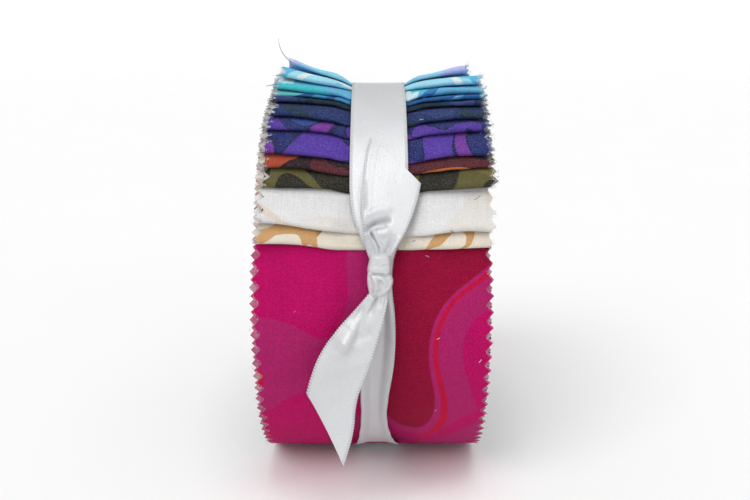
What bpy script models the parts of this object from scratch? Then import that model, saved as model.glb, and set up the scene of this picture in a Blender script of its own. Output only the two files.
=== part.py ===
"""Roll of pinked cotton strips, tied round its waist with a satin ribbon.

Metres, +Z up. X runs across the strips, from one end of the roll to the other. The folded ends of
the strips show on the front (-Y) and on the top. Angles are in degrees round the roll's axis, from
the front (0) up through the top (90) to the back (180) and the underside (270).
"""

import math

import bmesh
import bpy
import numpy as np

# Driving dimensions of the wound roll
STRIP_WIDTH = 0.0635
ROLL_RADIUS = 0.057
FLAT_HALF_WIDTH = 0.011
STACK_THICKNESS = 0.0174
CORE_OFFSET = 0.0050
CORE_OFFSET_ANGLE = 5.0
AXIS_HEIGHT = math.sqrt(ROLL_RADIUS**2 - FLAT_HALF_WIDTH**2)

# Reach of the ribbon's tail in front of the roll's axis, and of the band behind it
FRONT_REACH = 0.0642
BACK_REACH = 0.0570
AXIS_Y = (FRONT_REACH - BACK_REACH) / 2

# Spiral line between the turns, in degrees of winding inward from the innermost fold
TAIL_ANGLE = 19.0
FIRST_TURN = 84.0
INNER_TURN = 668.0
LAST_TURN = 768.0
GROOVE_WIDTH = 0.0010
GROOVE_DEPTH = 0.0018
EYE_RADIUS = 0.0026

# Pinked edges
TOOTH_PITCH = 0.0044
TOOTH_DEPTH = 0.0020
END_FACE_INSET = 0.0013
RIM_DEPTH = 0.0010

# Folded ends of the strips
SHEET = 0.0010
LIP = 0.0017
GAP = 0.0003
UNDERLAP = 0.0025
RECESS = 0.0034
HIDDEN_STEP = 0.0009

# Ribbon and the waist that it draws in
RIBBON_WIDTH = 0.0155
RIBBON_CENTRE = 0.0013
RIBBON_THICKNESS = 0.0010
WAIST_DEPTH = 0.0013
WAIST_HALF = 0.0086
WAIST_SHOULDER = 0.0130
WAIST_FLOOR_HEIGHT = 0.00175
BAND_RADIUS = ROLL_RADIUS - WAIST_DEPTH + GAP + RIBBON_THICKNESS / 2
BAND_LOWEST = WAIST_FLOOR_HEIGHT - GAP - RIBBON_THICKNESS / 2
KNOT_ANGLE = 11.0

# Flare of the cloth's ends at the top of the roll
FLARE_PEAK = 97.0
FLARE_FRONT = 74.0
FLARE_BACK = 142.0
FLARE_START = WAIST_HALF
FLARE_LEFT = 0.33
FLARE_RIGHT = 0.25

# Hidden folds on the back, from the last one that shows to the outermost strip's
HIDDEN_COUNT = 12
HIDDEN_FIRST = 99.0
HIDDEN_LAST = 170.0

# Each visible fold, innermost first: its angle at the left end, at the waist and at the right end,
# the strip's shift along X, and its colour
FOLDS = {
    "strip_tan": (20.1, 18.7, 19.1, -0.0010, (0.72, 0.52, 0.30)),
    "strip_cream": (25.4, 22.9, 23.1, -0.0004, (0.82, 0.78, 0.70)),
    "strip_olive": (36.0, 34.1, 34.6, 0.0010, (0.14, 0.13, 0.05)),
    "strip_rust": (41.4, 39.5, 41.5, 0.0006, (0.16, 0.05, 0.03)),
    "strip_grape": (46.4, 43.1, 45.3, 0.0006, (0.10, 0.05, 0.25)),
    "strip_violet": (54.9, 51.4, 54.4, 0.0006, (0.14, 0.06, 0.30)),
    "strip_navy": (60.8, 56.6, 58.8, 0.0008, (0.04, 0.06, 0.18)),
    "strip_pine": (68.2, 63.2, 65.7, 0.0008, (0.02, 0.04, 0.07)),
    "strip_surf": (73.9, 67.6, 70.2, 0.0004, (0.05, 0.30, 0.45)),
    "strip_teal": (79.8, 72.4, 75.6, 0.0002, (0.07, 0.22, 0.45)),
    "strip_aqua": (87.0, 79.4, 81.6, 0.0000, (0.35, 0.65, 0.72)),
    "strip_sky": (93.8, 88.6, 92.6, -0.0002, (0.15, 0.33, 0.62)),
}
DIP_WIDTH = 0.0150

# Columns across the strips, apart from the two pinked edges
COLUMNS = np.array(
    [
        -0.0293,
        -0.0210,
        RIBBON_CENTRE - WAIST_SHOULDER,
        RIBBON_CENTRE - WAIST_HALF,
        RIBBON_CENTRE + WAIST_HALF,
        RIBBON_CENTRE + WAIST_SHOULDER,
        0.0220,
        0.0293,
    ]
)

MAGENTA = (0.55, 0.01, 0.14)
SATIN = (0.80, 0.79, 0.80)


def smooth(t):
    """Zero below 0, one above 1, and an S between them."""
    t = np.clip(t, 0.0, 1.0)
    return t * t * (3 - 2 * t)


def at(angle, radius, x):
    """The point at this angle and radius round the roll's axis, at this x."""
    a = np.radians(angle)
    y = AXIS_Y - radius * np.cos(a)
    z = AXIS_HEIGHT + radius * np.sin(a)
    return np.stack(np.broadcast_arrays(x, y, z), axis=-1)


def flare(angle, x):
    """How far the cloth stands up beside the ribbon, at the top of the roll."""
    rise = smooth((angle - FLARE_FRONT) / (FLARE_PEAK - FLARE_FRONT))
    fall = smooth((FLARE_BACK - angle) / (FLARE_BACK - FLARE_PEAK))
    side = np.where(x < RIBBON_CENTRE, FLARE_LEFT, FLARE_RIGHT)
    reach = np.maximum(np.abs(x - RIBBON_CENTRE) - FLARE_START, 0.0)
    return rise * fall * side * reach


def waist(x):
    """How far the ribbon draws the cloth in."""
    reach = np.abs(x - RIBBON_CENTRE)
    return WAIST_DEPTH * (1 - smooth((reach - WAIST_HALF) / (WAIST_SHOULDER - WAIST_HALF)))


def base_radius(angle, x):
    """Surface that the folded ends lie on: below the outline over the stretch that they cover."""
    recess = RECESS * smooth((angle - 6.0) / 18.0) * (angle < HIDDEN_FIRST)
    return ROLL_RADIUS - recess + flare(angle, x) - waist(x)


def fold_angle(left, middle, right, x):
    """Angle of a fold's edge across the strip: straight, with a dip at the ribbon."""
    span = (x + STRIP_WIDTH / 2) / STRIP_WIDTH
    straight = left + (right - left) * span
    dip = (left + right) / 2 - middle
    reach = np.maximum(np.abs(x - RIBBON_CENTRE) - WAIST_HALF, 0.0)
    return straight - dip * np.exp(-((reach / DIP_WIDTH) ** 2) * 2.0)


def hidden_folds():
    """Angles of the plain folds on the back, unevenly spaced as hand-stacked strips are."""
    steps = np.arange(HIDDEN_COUNT)
    uneven = 1.1 * np.sin(2.4 * steps + 0.6) * (steps > 0) * (steps < HIDDEN_COUNT - 1)
    return HIDDEN_FIRST + (HIDDEN_LAST - HIDDEN_FIRST) * steps / (HIDDEN_COUNT - 1) + uneven


def material(name, colour, roughness):
    """A Principled material of one colour."""
    made = bpy.data.materials.new(name)
    made.use_nodes = True
    shader = made.node_tree.nodes["Principled BSDF"]
    shader.inputs["Base Color"].default_value = (*colour, 1.0)
    shader.inputs["Roughness"].default_value = roughness
    shader.inputs["Metallic"].default_value = 0.0
    return made


def collection(name):
    """A new collection in the scene."""
    made = bpy.data.collections.new(name)
    bpy.context.scene.collection.children.link(made)
    return made


def object_from(name, mesh, group, finish=None):
    """An object of this mesh in this collection, smooth with its sharp edges kept."""
    made = bpy.data.objects.new(name, mesh)
    group.objects.link(made)
    mesh.shade_smooth()
    mesh.set_sharp_from_angle(angle=math.radians(40))
    if finish:
        mesh.materials.append(finish)
    return made


def mesh_from(name, points, faces):
    """A mesh of these points and faces, its faces turned outwards."""
    mesh = bpy.data.meshes.new(name)
    mesh.from_pydata([tuple(p) for p in points], [], faces)
    shape = bmesh.new()
    shape.from_mesh(mesh)
    bmesh.ops.remove_doubles(shape, verts=shape.verts, dist=1e-6)
    bmesh.ops.recalc_face_normals(shape, faces=shape.faces)
    shape.to_mesh(mesh)
    shape.free()
    return mesh


def bent_grid(name, along, across, surface, closed=False):
    """A grid primitive bent into surface(u, v): u runs 0 to 1 along it, and v -1 to 1 across it."""
    shape = bmesh.new()
    bmesh.ops.create_grid(shape, x_segments=along, y_segments=across, size=1.0)
    mesh = bpy.data.meshes.new(name)
    shape.to_mesh(mesh)
    shape.free()
    flat = np.empty(len(mesh.vertices) * 3)
    mesh.vertices.foreach_get("co", flat)
    flat = flat.reshape(-1, 3)
    points = surface((flat[:, 0] + 1) / 2, flat[:, 1])
    mesh.vertices.foreach_set("co", points.ravel())
    if closed:
        shape = bmesh.new()
        shape.from_mesh(mesh)
        bmesh.ops.remove_doubles(shape, verts=shape.verts, dist=1e-6)
        shape.to_mesh(mesh)
        shape.free()
    return mesh


def thicken(cloth, thickness):
    """Gives an open surface its thickness, half to each side."""
    wall = cloth.modifiers.new("thickness", "SOLIDIFY")
    wall.thickness = thickness
    wall.offset = 0.0


def roll_rows():
    """Angle, depth below the outline, and place in the tooth, of each row round the roll."""
    flat = math.degrees(math.asin(FLAT_HALF_WIDTH / ROLL_RADIUS))
    half_tooth = math.degrees(TOOTH_PITCH / 2 / ROLL_RADIUS)
    rows = []
    stops = (HIDDEN_LAST - 360 + 1.5, -90 - flat, -90 + flat, 27.0)
    for start, end in zip(stops, stops[1:]):
        count = round((end - start) / half_tooth)
        rows += [(a, 0.0) for a in np.linspace(start, end, count, endpoint=False)]
    rows += [(a, 0.0) for a in np.linspace(31.0, HIDDEN_FIRST - 1.0, 18)]
    for fold in hidden_folds():
        step = 0.0 if fold == HIDDEN_FIRST else HIDDEN_STEP
        rows += [(fold - 0.15, step), (fold, 0.35 * HIDDEN_STEP), (fold + 0.9, 0.0)]
        if fold < HIDDEN_LAST:
            rows += [(fold + 2.9, 0.1 * HIDDEN_STEP), (fold + 4.4, 0.4 * HIDDEN_STEP)]
    return rows


def roll_mesh():
    """The wound strips as one body: rows round the outline, columns across, and two end faces."""
    rows = roll_rows()
    points = []
    for index, (angle, depth) in enumerate(rows):
        tooth = TOOTH_DEPTH * (index % 2)
        edge = STRIP_WIDTH / 2 - tooth
        face = STRIP_WIDTH / 2 - END_FACE_INSET
        x = np.array([-face, -edge, *COLUMNS, edge, face])
        radius = base_radius(angle, x) - depth
        radius[[0, -1]] -= RIM_DEPTH
        row = at(angle, radius, x)
        floor = np.where(waist(x) > WAIST_DEPTH / 2, WAIST_FLOOR_HEIGHT, 0.0)
        floor[[0, -1]] = RIM_DEPTH
        row[:, 2] = np.maximum(row[:, 2], floor)
        points.append(row)
    count = len(rows)
    width = len(points[0])
    faces = []
    for r in range(count):
        after = (r + 1) % count
        for c in range(width - 1):
            faces.append((r * width + c, r * width + c + 1, after * width + c + 1, after * width + c))
    faces.append([r * width for r in range(count)])
    faces.append([r * width + width - 1 for r in range(count)])
    return mesh_from("roll", np.concatenate(points), faces)


def turn_boundary(turn):
    """Radius round the core of the line between one turn and the next, inward from the tail, with
    the strips' inner ends turned in to the eye."""
    radius = ROLL_RADIUS - CORE_OFFSET - STACK_THICKNESS * turn / 360.0
    inner = smooth((turn - INNER_TURN) / (LAST_TURN - INNER_TURN))
    return radius * (1 - inner) + EYE_RADIUS * inner


def groove_mesh(name, side):
    """Thin spiral wall that cuts the line between the turns into one end face."""
    centre = at(CORE_OFFSET_ANGLE, CORE_OFFSET, 0.0)
    face = STRIP_WIDTH / 2 - END_FACE_INSET

    def surface(u, v):
        turn = FIRST_TURN + (LAST_TURN - FIRST_TURN) * u
        radius = turn_boundary(turn)
        a = np.radians(turn + TAIL_ANGLE)
        x = side * (face + GROOVE_DEPTH * v)
        y = centre[1] - radius * np.cos(a)
        z = centre[2] + radius * np.sin(a)
        return np.stack([x, y, z], axis=-1)

    return bent_grid(name, 72, 1, surface)


def make_roll(parts, cutters):
    """The wound body, with a spiral line cut in each end and a small eye at its core."""
    roll = object_from("roll", roll_mesh(), parts, material("magenta_cotton", MAGENTA, 0.85))
    centre = at(CORE_OFFSET_ANGLE, CORE_OFFSET, 0.0)
    for name, side in (("groove_left", -1), ("groove_right", 1)):
        groove = object_from(name, groove_mesh(name, side), cutters)
        thicken(groove, GROOVE_WIDTH)
        hide_cutter(groove)
        cut(roll, groove)
        shape = bmesh.new()
        bmesh.ops.create_cone(
            shape, cap_ends=True, segments=14, radius1=EYE_RADIUS, radius2=EYE_RADIUS, depth=0.012
        )
        mesh = bpy.data.meshes.new("eye")
        shape.to_mesh(mesh)
        shape.free()
        eye = object_from(name.replace("groove", "eye"), mesh, cutters)
        eye.rotation_euler = (0, math.radians(90), 0)
        eye.location = (side * (STRIP_WIDTH / 2), centre[1], centre[2])
        hide_cutter(eye)
        cut(roll, eye)


def hide_cutter(obj):
    """A cutter shows as wires, and isn't part of the model."""
    obj.hide_render = True
    obj.display_type = "WIRE"


def cut(body, cutter):
    """Takes the cutter's shape out of the body."""
    taken = body.modifiers.new(cutter.name, "BOOLEAN")
    taken.operation = "DIFFERENCE"
    taken.solver = "EXACT"
    taken.object = cutter


def strip_stations(exposed, underlap):
    """Distances from the fold, one column for each row: the rounded lip, then tooth by tooth."""
    length = exposed + underlap
    lip = np.array([0.0, 0.00025, 0.0009])
    teeth = max(3, round(float(length.mean()) / (TOOTH_PITCH / 2)))
    rows = [np.full_like(length, d) for d in lip]
    rows += [0.0009 + (length - 0.0009) * (j + 1) / teeth for j in range(teeth)]
    return np.array(rows)


def make_strip(name, row, above, parts, finish):
    """One strip's folded end: a sheet with a thick rounded lip, its far end under the next lip."""
    left, middle, right, shift, _ = row
    edge = STRIP_WIDTH / 2
    x = np.array([shift - edge, *COLUMNS, shift + edge])
    fold = fold_angle(left, middle, right, x)
    cover = fold_angle(*above[:3], x) if above else np.full_like(x, HIDDEN_FIRST - 0.4)
    exposed = np.radians(cover - fold) * ROLL_RADIUS
    room = underlap_room(above, x)
    distance = strip_stations(exposed, room)
    rows = len(distance)
    low = []
    high = []
    for index, d in enumerate(distance):
        angle = fold + np.degrees(d / ROLL_RADIUS)
        base = base_radius(angle, x)
        plateau = underlap_limit(exposed) + 0.12 * exposed
        down = smooth((d - plateau) / (0.9 * exposed - plateau))
        under = GAP + (SHEET + GAP) * (1 - down)
        if name == "strip_tan":
            under = np.full_like(x, GAP)
        thick = SHEET + (LIP - SHEET) * (1 - smooth(d / 0.0035))
        if index == 0:
            under = under + thick / 2
            thick = 0.0
        if index == 1:
            under = under + 0.16 * thick
            thick = 0.68 * thick
        columns = x.copy()
        tooth = TOOTH_DEPTH * (max(index - 2, 0) % 2)
        columns[0] += tooth
        columns[-1] -= tooth
        low.append(at(angle, base + under, columns))
        high.append(at(angle, base + under + thick, columns))
    width = len(x)
    points = np.concatenate(high + low)
    top = np.arange(rows * width).reshape(rows, width)
    mesh = mesh_from(name, points, sheet_faces(top, top + rows * width))
    object_from(name, mesh, parts, finish)


def underlap_limit(exposed):
    """How far the strip below reaches under this one, given how much of this one shows."""
    return np.minimum(UNDERLAP, 0.45 * exposed)


def underlap_room(above, x):
    """How far a strip reaches under the one above it; the last one stops short of the body's step."""
    if not above:
        return np.zeros_like(x)
    names = list(FOLDS)
    place = names.index(above[5])
    over = FOLDS[names[place + 1]][:3] if place + 1 < len(names) else (HIDDEN_FIRST,) * 3
    shown = np.radians(fold_angle(*over, x) - fold_angle(*above[:3], x)) * ROLL_RADIUS
    return underlap_limit(shown)


def sheet_faces(top, low):
    """Faces of a closed sheet from its two grids of point numbers."""
    faces = []
    rows, width = top.shape
    for r in range(rows - 1):
        for c in range(width - 1):
            faces.append((top[r, c], top[r, c + 1], top[r + 1, c + 1], top[r + 1, c]))
            faces.append((low[r, c], low[r + 1, c], low[r + 1, c + 1], low[r, c + 1]))
    for r in range(rows - 1):
        for c, sign in ((0, 1), (width - 1, -1)):
            side = (top[r, c], top[r + 1, c], low[r + 1, c], low[r, c])
            faces.append(side[::sign])
    for c in range(width - 1):
        faces.append((top[-1, c], top[-1, c + 1], low[-1, c + 1], low[-1, c]))
    return [tuple(int(i) for i in face) for face in faces]


def make_strips(parts):
    """Every visible folded end, innermost first."""
    names = list(FOLDS)
    for place, name in enumerate(names):
        above = None
        if place + 1 < len(names):
            above = (*FOLDS[names[place + 1]], names[place + 1])
        finish = material(name.replace("strip", "cotton"), FOLDS[name][4], 0.85)
        make_strip(name, FOLDS[name], above, parts, finish)


def make_band(parts, finish):
    """The ribbon round the waist: drawn together behind the knot, curled lengthwise into a trough
    below it, flat and at its full width over the rest, and raised off the floor below."""
    # Angle upwards from the roll's front, middle, half width, and how far the edges stand out
    rows = np.array(
        [
            (11.0, 0.0023, 0.0026, 0.0),
            (17.0, 0.0021, 0.0033, 0.0),
            (22.0, 0.0017, 0.0051, 0.0),
            (27.0, 0.0014, 0.0067, 0.0),
            (34.0, RIBBON_CENTRE, RIBBON_WIDTH / 2, 0.0),
            (272.0, RIBBON_CENTRE, RIBBON_WIDTH / 2, 0.0),
            (292.0, 0.0012, 0.0073, 0.0),
            (312.0, 0.0008, 0.0051, 0.0007),
            (328.0, 0.0001, 0.0036, 0.0013),
            (336.0, 0.0001, 0.0037, 0.0014),
            (347.0, 0.0007, 0.0043, 0.0014),
            (355.0, 0.0013, 0.0042, 0.0009),
            (363.0, 0.0020, 0.0034, 0.0),
            (371.0, 0.0023, 0.0026, 0.0),
        ]
    )

    def surface(u, v):
        angle = KNOT_ANGLE + 360.0 * u
        middle, half, rise = (np.interp(angle, rows[:, 0], rows[:, c]) for c in (1, 2, 3))
        points = at(angle, BAND_RADIUS + rise * v**2, middle + half * v)
        points[:, 2] = np.maximum(points[:, 2], BAND_LOWEST)
        return points

    mesh = bent_grid("ribbon_band", 84, 4, surface, closed=True)
    band = object_from("ribbon_band", mesh, parts, finish)
    thicken(band, RIBBON_THICKNESS)


def make_tail_up(parts, finish):
    """The free end that lies up over the band, cut aslant."""
    # Angle from the roll's front, left edge and right edge, from the knot to the cut end
    rows = np.array(
        [
            (16.9, -0.0016, 0.0040),
            (20.5, -0.0021, 0.0068),
            (26.0, -0.0027, 0.0095),
            (31.0, -0.0029, 0.0108),
            (36.1, -0.0029, 0.0122),
        ]
    )
    tip_rise = 15.2
    tip_shift = 0.0026
    lift = RIBBON_THICKNESS + GAP

    def surface(u, v):
        place = u * (len(rows) - 1)
        index = np.arange(len(rows))
        left = np.interp(place, index, rows[:, 1])
        right = np.interp(place, index, rows[:, 2])
        side = (1 - v) / 2
        slant = np.clip(u * 1.25 - 0.25, 0, 1) * side
        angle = np.interp(place, index, rows[:, 0]) + tip_rise * slant
        x = left + (right - left) * (1 - side) + tip_shift * slant
        return at(angle, BAND_RADIUS + lift + 0 * v, x)

    mesh = bent_grid("ribbon_tail_up", 10, 4, surface)
    tail = object_from("ribbon_tail_up", mesh, parts, finish)
    thicken(tail, RIBBON_THICKNESS)


def make_knot(parts, finish):
    """The knot: a rounded lump with a wrap over its upper half and a narrower lower half."""
    half_width = 0.0036
    half_height = 0.0051
    depth = 0.0052
    shape = bmesh.new()
    bmesh.ops.create_uvsphere(shape, u_segments=16, v_segments=12, radius=1.0)
    mesh = bpy.data.meshes.new("ribbon_knot")
    shape.to_mesh(mesh)
    shape.free()
    ball = np.empty(len(mesh.vertices) * 3)
    mesh.vertices.foreach_get("co", ball)
    ball = ball.reshape(-1, 3)
    squared = np.sign(ball) * np.abs(ball) ** 0.6
    waisted = 1 - 0.16 * np.exp(-(((ball[:, 2] + 0.25) / 0.16) ** 2)) - 0.10 * (ball[:, 2] < -0.3)
    x = RIBBON_CENTRE + 0.0010 + half_width * squared[:, 0] * waisted
    out = BAND_RADIUS + RIBBON_THICKNESS / 2 + GAP + depth / 2 * (1 - squared[:, 1] * waisted)
    up = half_height * squared[:, 2]
    angle = KNOT_ANGLE + np.degrees(up / ROLL_RADIUS)
    mesh.vertices.foreach_set("co", at(angle, out, x).ravel())
    shape = bmesh.new()
    shape.from_mesh(mesh)
    bmesh.ops.recalc_face_normals(shape, faces=shape.faces)
    shape.to_mesh(mesh)
    shape.free()
    object_from("ribbon_knot", mesh, parts, finish)


def hanging(name, parts, finish, rows, along, across):
    """A ribbon that hangs from the knot: rows of height, left edge, right edge, and how far each
    edge stands in front of the roll's axis."""
    rows = np.array(rows)

    def surface(u, v):
        place = u * (len(rows) - 1)
        index = np.arange(len(rows))
        height, left, right, left_out, right_out = (
            smooth_between(place, index, rows[:, c]) for c in range(5)
        )
        share = (1 + v) / 2
        x = left + (right - left) * share
        y = AXIS_Y - (left_out + (right_out - left_out) * share)
        return np.stack([x, y, height], axis=-1)

    made = object_from(name, bent_grid(name, along, across, surface), parts, finish)
    thicken(made, RIBBON_THICKNESS)
    return made


def smooth_between(place, index, values):
    """Values along a smooth curve through the rows."""
    slope = np.gradient(values)
    low = np.clip(np.floor(place).astype(int), 0, len(values) - 2)
    t = place - index[low]
    a, b = values[low], values[low + 1]
    ma, mb = slope[low], slope[low + 1]
    return (
        a * (2 * t**3 - 3 * t**2 + 1)
        + ma * (t**3 - 2 * t**2 + t)
        + b * (3 * t**2 - 2 * t**3)
        + mb * (t**3 - t**2)
    )


def make_tail_down(parts, finish):
    """The free end that hangs in front, turned to the left and cut aslant to a point."""
    # Height, left edge, right edge, and the reach of each edge in front of the roll's axis
    rows = [
        (0.0619, -0.0012, 0.0034, 0.0598, 0.0600),
        (0.0533, -0.0100, 0.0014, 0.0612, 0.0634),
        (0.0441, -0.0158, -0.0022, 0.0606, 0.0636),
        (0.0359, -0.0177, -0.0043, 0.0610, 0.0634),
        (0.0270, -0.0140, -0.0056, 0.0622, 0.0632),
        (0.0160, -0.0086, -0.0078, 0.0630, 0.0632),
    ]
    hanging("ribbon_tail_down", parts, finish, rows, 15, 4)


def main():
    """Clears the scene and makes every piece."""
    for obj in list(bpy.data.objects):
        bpy.data.objects.remove(obj, do_unlink=True)
    parts = collection("fabric_strip_roll")
    cutters = collection("cutters")
    make_roll(parts, cutters)
    make_strips(parts)
    satin = material("white_satin", SATIN, 0.35)
    make_band(parts, satin)
    make_tail_up(parts, satin)
    make_knot(parts, satin)
    make_tail_down(parts, satin)


main()
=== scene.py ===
"""Roll of pinked printed cotton strips, tied round its waist with a white satin ribbon.

Surfaces are worked out in millimetres and put into meshes in metres. X runs across the strips. An
angle round the roll's axis runs from the front (0) up through the top (90) to the back (180). A
winding angle is counted inward along the spiral from the innermost strip's fold. All in degrees.
"""
import logging
import math
from dataclasses import dataclass
from enum import Enum

import bpy
import numpy as np
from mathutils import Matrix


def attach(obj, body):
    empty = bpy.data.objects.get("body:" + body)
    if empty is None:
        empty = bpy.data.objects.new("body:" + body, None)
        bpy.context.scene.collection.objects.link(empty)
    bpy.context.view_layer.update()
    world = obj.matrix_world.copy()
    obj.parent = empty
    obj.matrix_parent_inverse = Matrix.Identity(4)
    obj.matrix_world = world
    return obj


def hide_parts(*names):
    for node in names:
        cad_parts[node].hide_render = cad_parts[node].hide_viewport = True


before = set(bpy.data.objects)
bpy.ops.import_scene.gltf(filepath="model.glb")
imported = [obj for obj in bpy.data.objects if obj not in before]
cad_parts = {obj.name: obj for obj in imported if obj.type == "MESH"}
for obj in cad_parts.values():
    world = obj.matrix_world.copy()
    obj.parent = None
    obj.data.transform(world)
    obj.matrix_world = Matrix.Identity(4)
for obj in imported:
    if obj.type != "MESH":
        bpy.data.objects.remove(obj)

LOG = logging.getLogger("strip_roll")
MM = 0.001
# Millimetres from one thread of the cotton to the next, and from one bead of the ribbon's edge
THREAD = 0.36
BEAD = 0.80
# Degrees between two faces past which their edge is drawn sharp
SHARP_ANGLE = 58.0
Colour = tuple[float, float, float, float]
Display = tuple[int, int, int]
Array = np.ndarray
WHITE: Colour = (1.0, 1.0, 1.0, 1.0)


def smooth(t: Array) -> Array:
    """Zero below 0, one above 1, and 3t^2 - 2t^3 between them."""
    t = np.clip(t, 0.0, 1.0)
    return t * t * (3 - 2 * t)


def window(value: Array, start: float, rise: float, end: float, fall: float) -> Array:
    """One between start and end, rising after start and falling before end along an S."""
    return smooth((value - start) / rise) * smooth((end - value) / fall)


def waves(table: tuple, x: Array, number: int) -> Array:
    """Sum of sines of x, of which each row gives the height, the length and a number's shift."""
    return sum(high * np.sin(x / long + shift * number) for high, long, shift in table)


def bell(distance: Array, width: Array | float) -> Array:
    """Bell curve: e to the power of minus the square of distance over width."""
    return np.exp(-((distance / width) ** 2))


def colour(red: int, green: int, blue: int) -> Colour:
    """Linear colour of these display values, each raised by the display curve.

    Args:
        red, green, blue: From 0 to 255.

    Returns:
        The colour, with an alpha of 1.
    """
    shown = np.array([red, green, blue]) / 255.0
    linear = np.where(shown <= 0.04045, shown / 12.92, ((shown + 0.055) / 1.055) ** 2.4)
    return (*linear.tolist(), 1.0)


def through(rows: Array, place: Array) -> Array:
    """Smooth curve through rows of numbers.

    Cubic Hermite pieces between the rows, with each row's slope taken from its neighbours.

    Args:
        rows: One row for each station, any number of columns.
        place: Stations to read, 0 for the first row and 1 for the last, in any shape.

    Returns:
        The rows at those stations: place's shape, then the columns.
    """
    slope = np.gradient(rows, axis=0)
    at = np.clip(place, 0.0, 1.0) * (len(rows) - 1)
    low = np.clip(np.floor(at).astype(int), 0, len(rows) - 2)
    t = (at - low)[..., None]
    return (
        rows[low] * (2 * t**3 - 3 * t**2 + 1)
        + slope[low] * (t**3 - 2 * t**2 + t)
        + rows[low + 1] * (3 * t**2 - 2 * t**3)
        + slope[low + 1] * (t**3 - t**2)
    )


@dataclass(frozen=True)
class Crease:
    """A ridge or furrow of cloth along a line.

    Attributes:
        line: Its points.
        height: Over the cloth, negative for a furrow, at stations from its start to its end.
        width: Half its width at such stations.
    """

    line: tuple[tuple[float, float], ...]
    height: tuple[float, ...]
    width: tuple[float, ...]

    def relief(self, x: Array, up: Array) -> Array:
        """Height at these places: a bell curve of the distance from the nearest of the line's
        straight pieces, its height and width read at the nearest station.

        Args:
            x, up: Places across and up the surface.

        Returns:
            Heights in millimetres.
        """
        points = np.array(self.line)
        a, way = points[:-1], np.diff(points, axis=0)
        off = np.stack(np.broadcast_arrays(x, up), axis=-1)[..., None, :] - a
        t = np.clip((off * way).sum(-1) / (way**2).sum(-1), 0.0, 1.0)
        away = np.linalg.norm(off - t[..., None] * way, axis=-1)
        nearest = away.argmin(-1)[..., None]
        station = (nearest + np.take_along_axis(t, nearest, -1))[..., 0] / len(a)
        height = np.interp(station, np.linspace(0, 1, len(self.height)), self.height)
        width = np.interp(station, np.linspace(0, 1, len(self.width)), self.width)
        return height * bell(away.min(-1), width)


# Shader nodes


class Sock:
    """A node's output, with arithmetic that adds Math nodes."""

    def __init__(self, graph: "Graph", socket: bpy.types.NodeSocket) -> None:
        """Keeps the socket and the graph that it belongs to."""
        self.graph = graph
        self.socket = socket

    def __add__(self, other: "Sock | float") -> "Sock":
        """This plus other."""
        return self.graph.maths("ADD", self, other)

    def __sub__(self, other: "Sock | float") -> "Sock":
        """This less other."""
        return self.graph.maths("SUBTRACT", self, other)

    def __rsub__(self, other: float) -> "Sock":
        """Other less this."""
        return self.graph.maths("SUBTRACT", other, self)

    def __mul__(self, other: "Sock | float") -> "Sock":
        """This times other."""
        return self.graph.maths("MULTIPLY", self, other)

    __radd__ = __add__
    __rmul__ = __mul__


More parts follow.
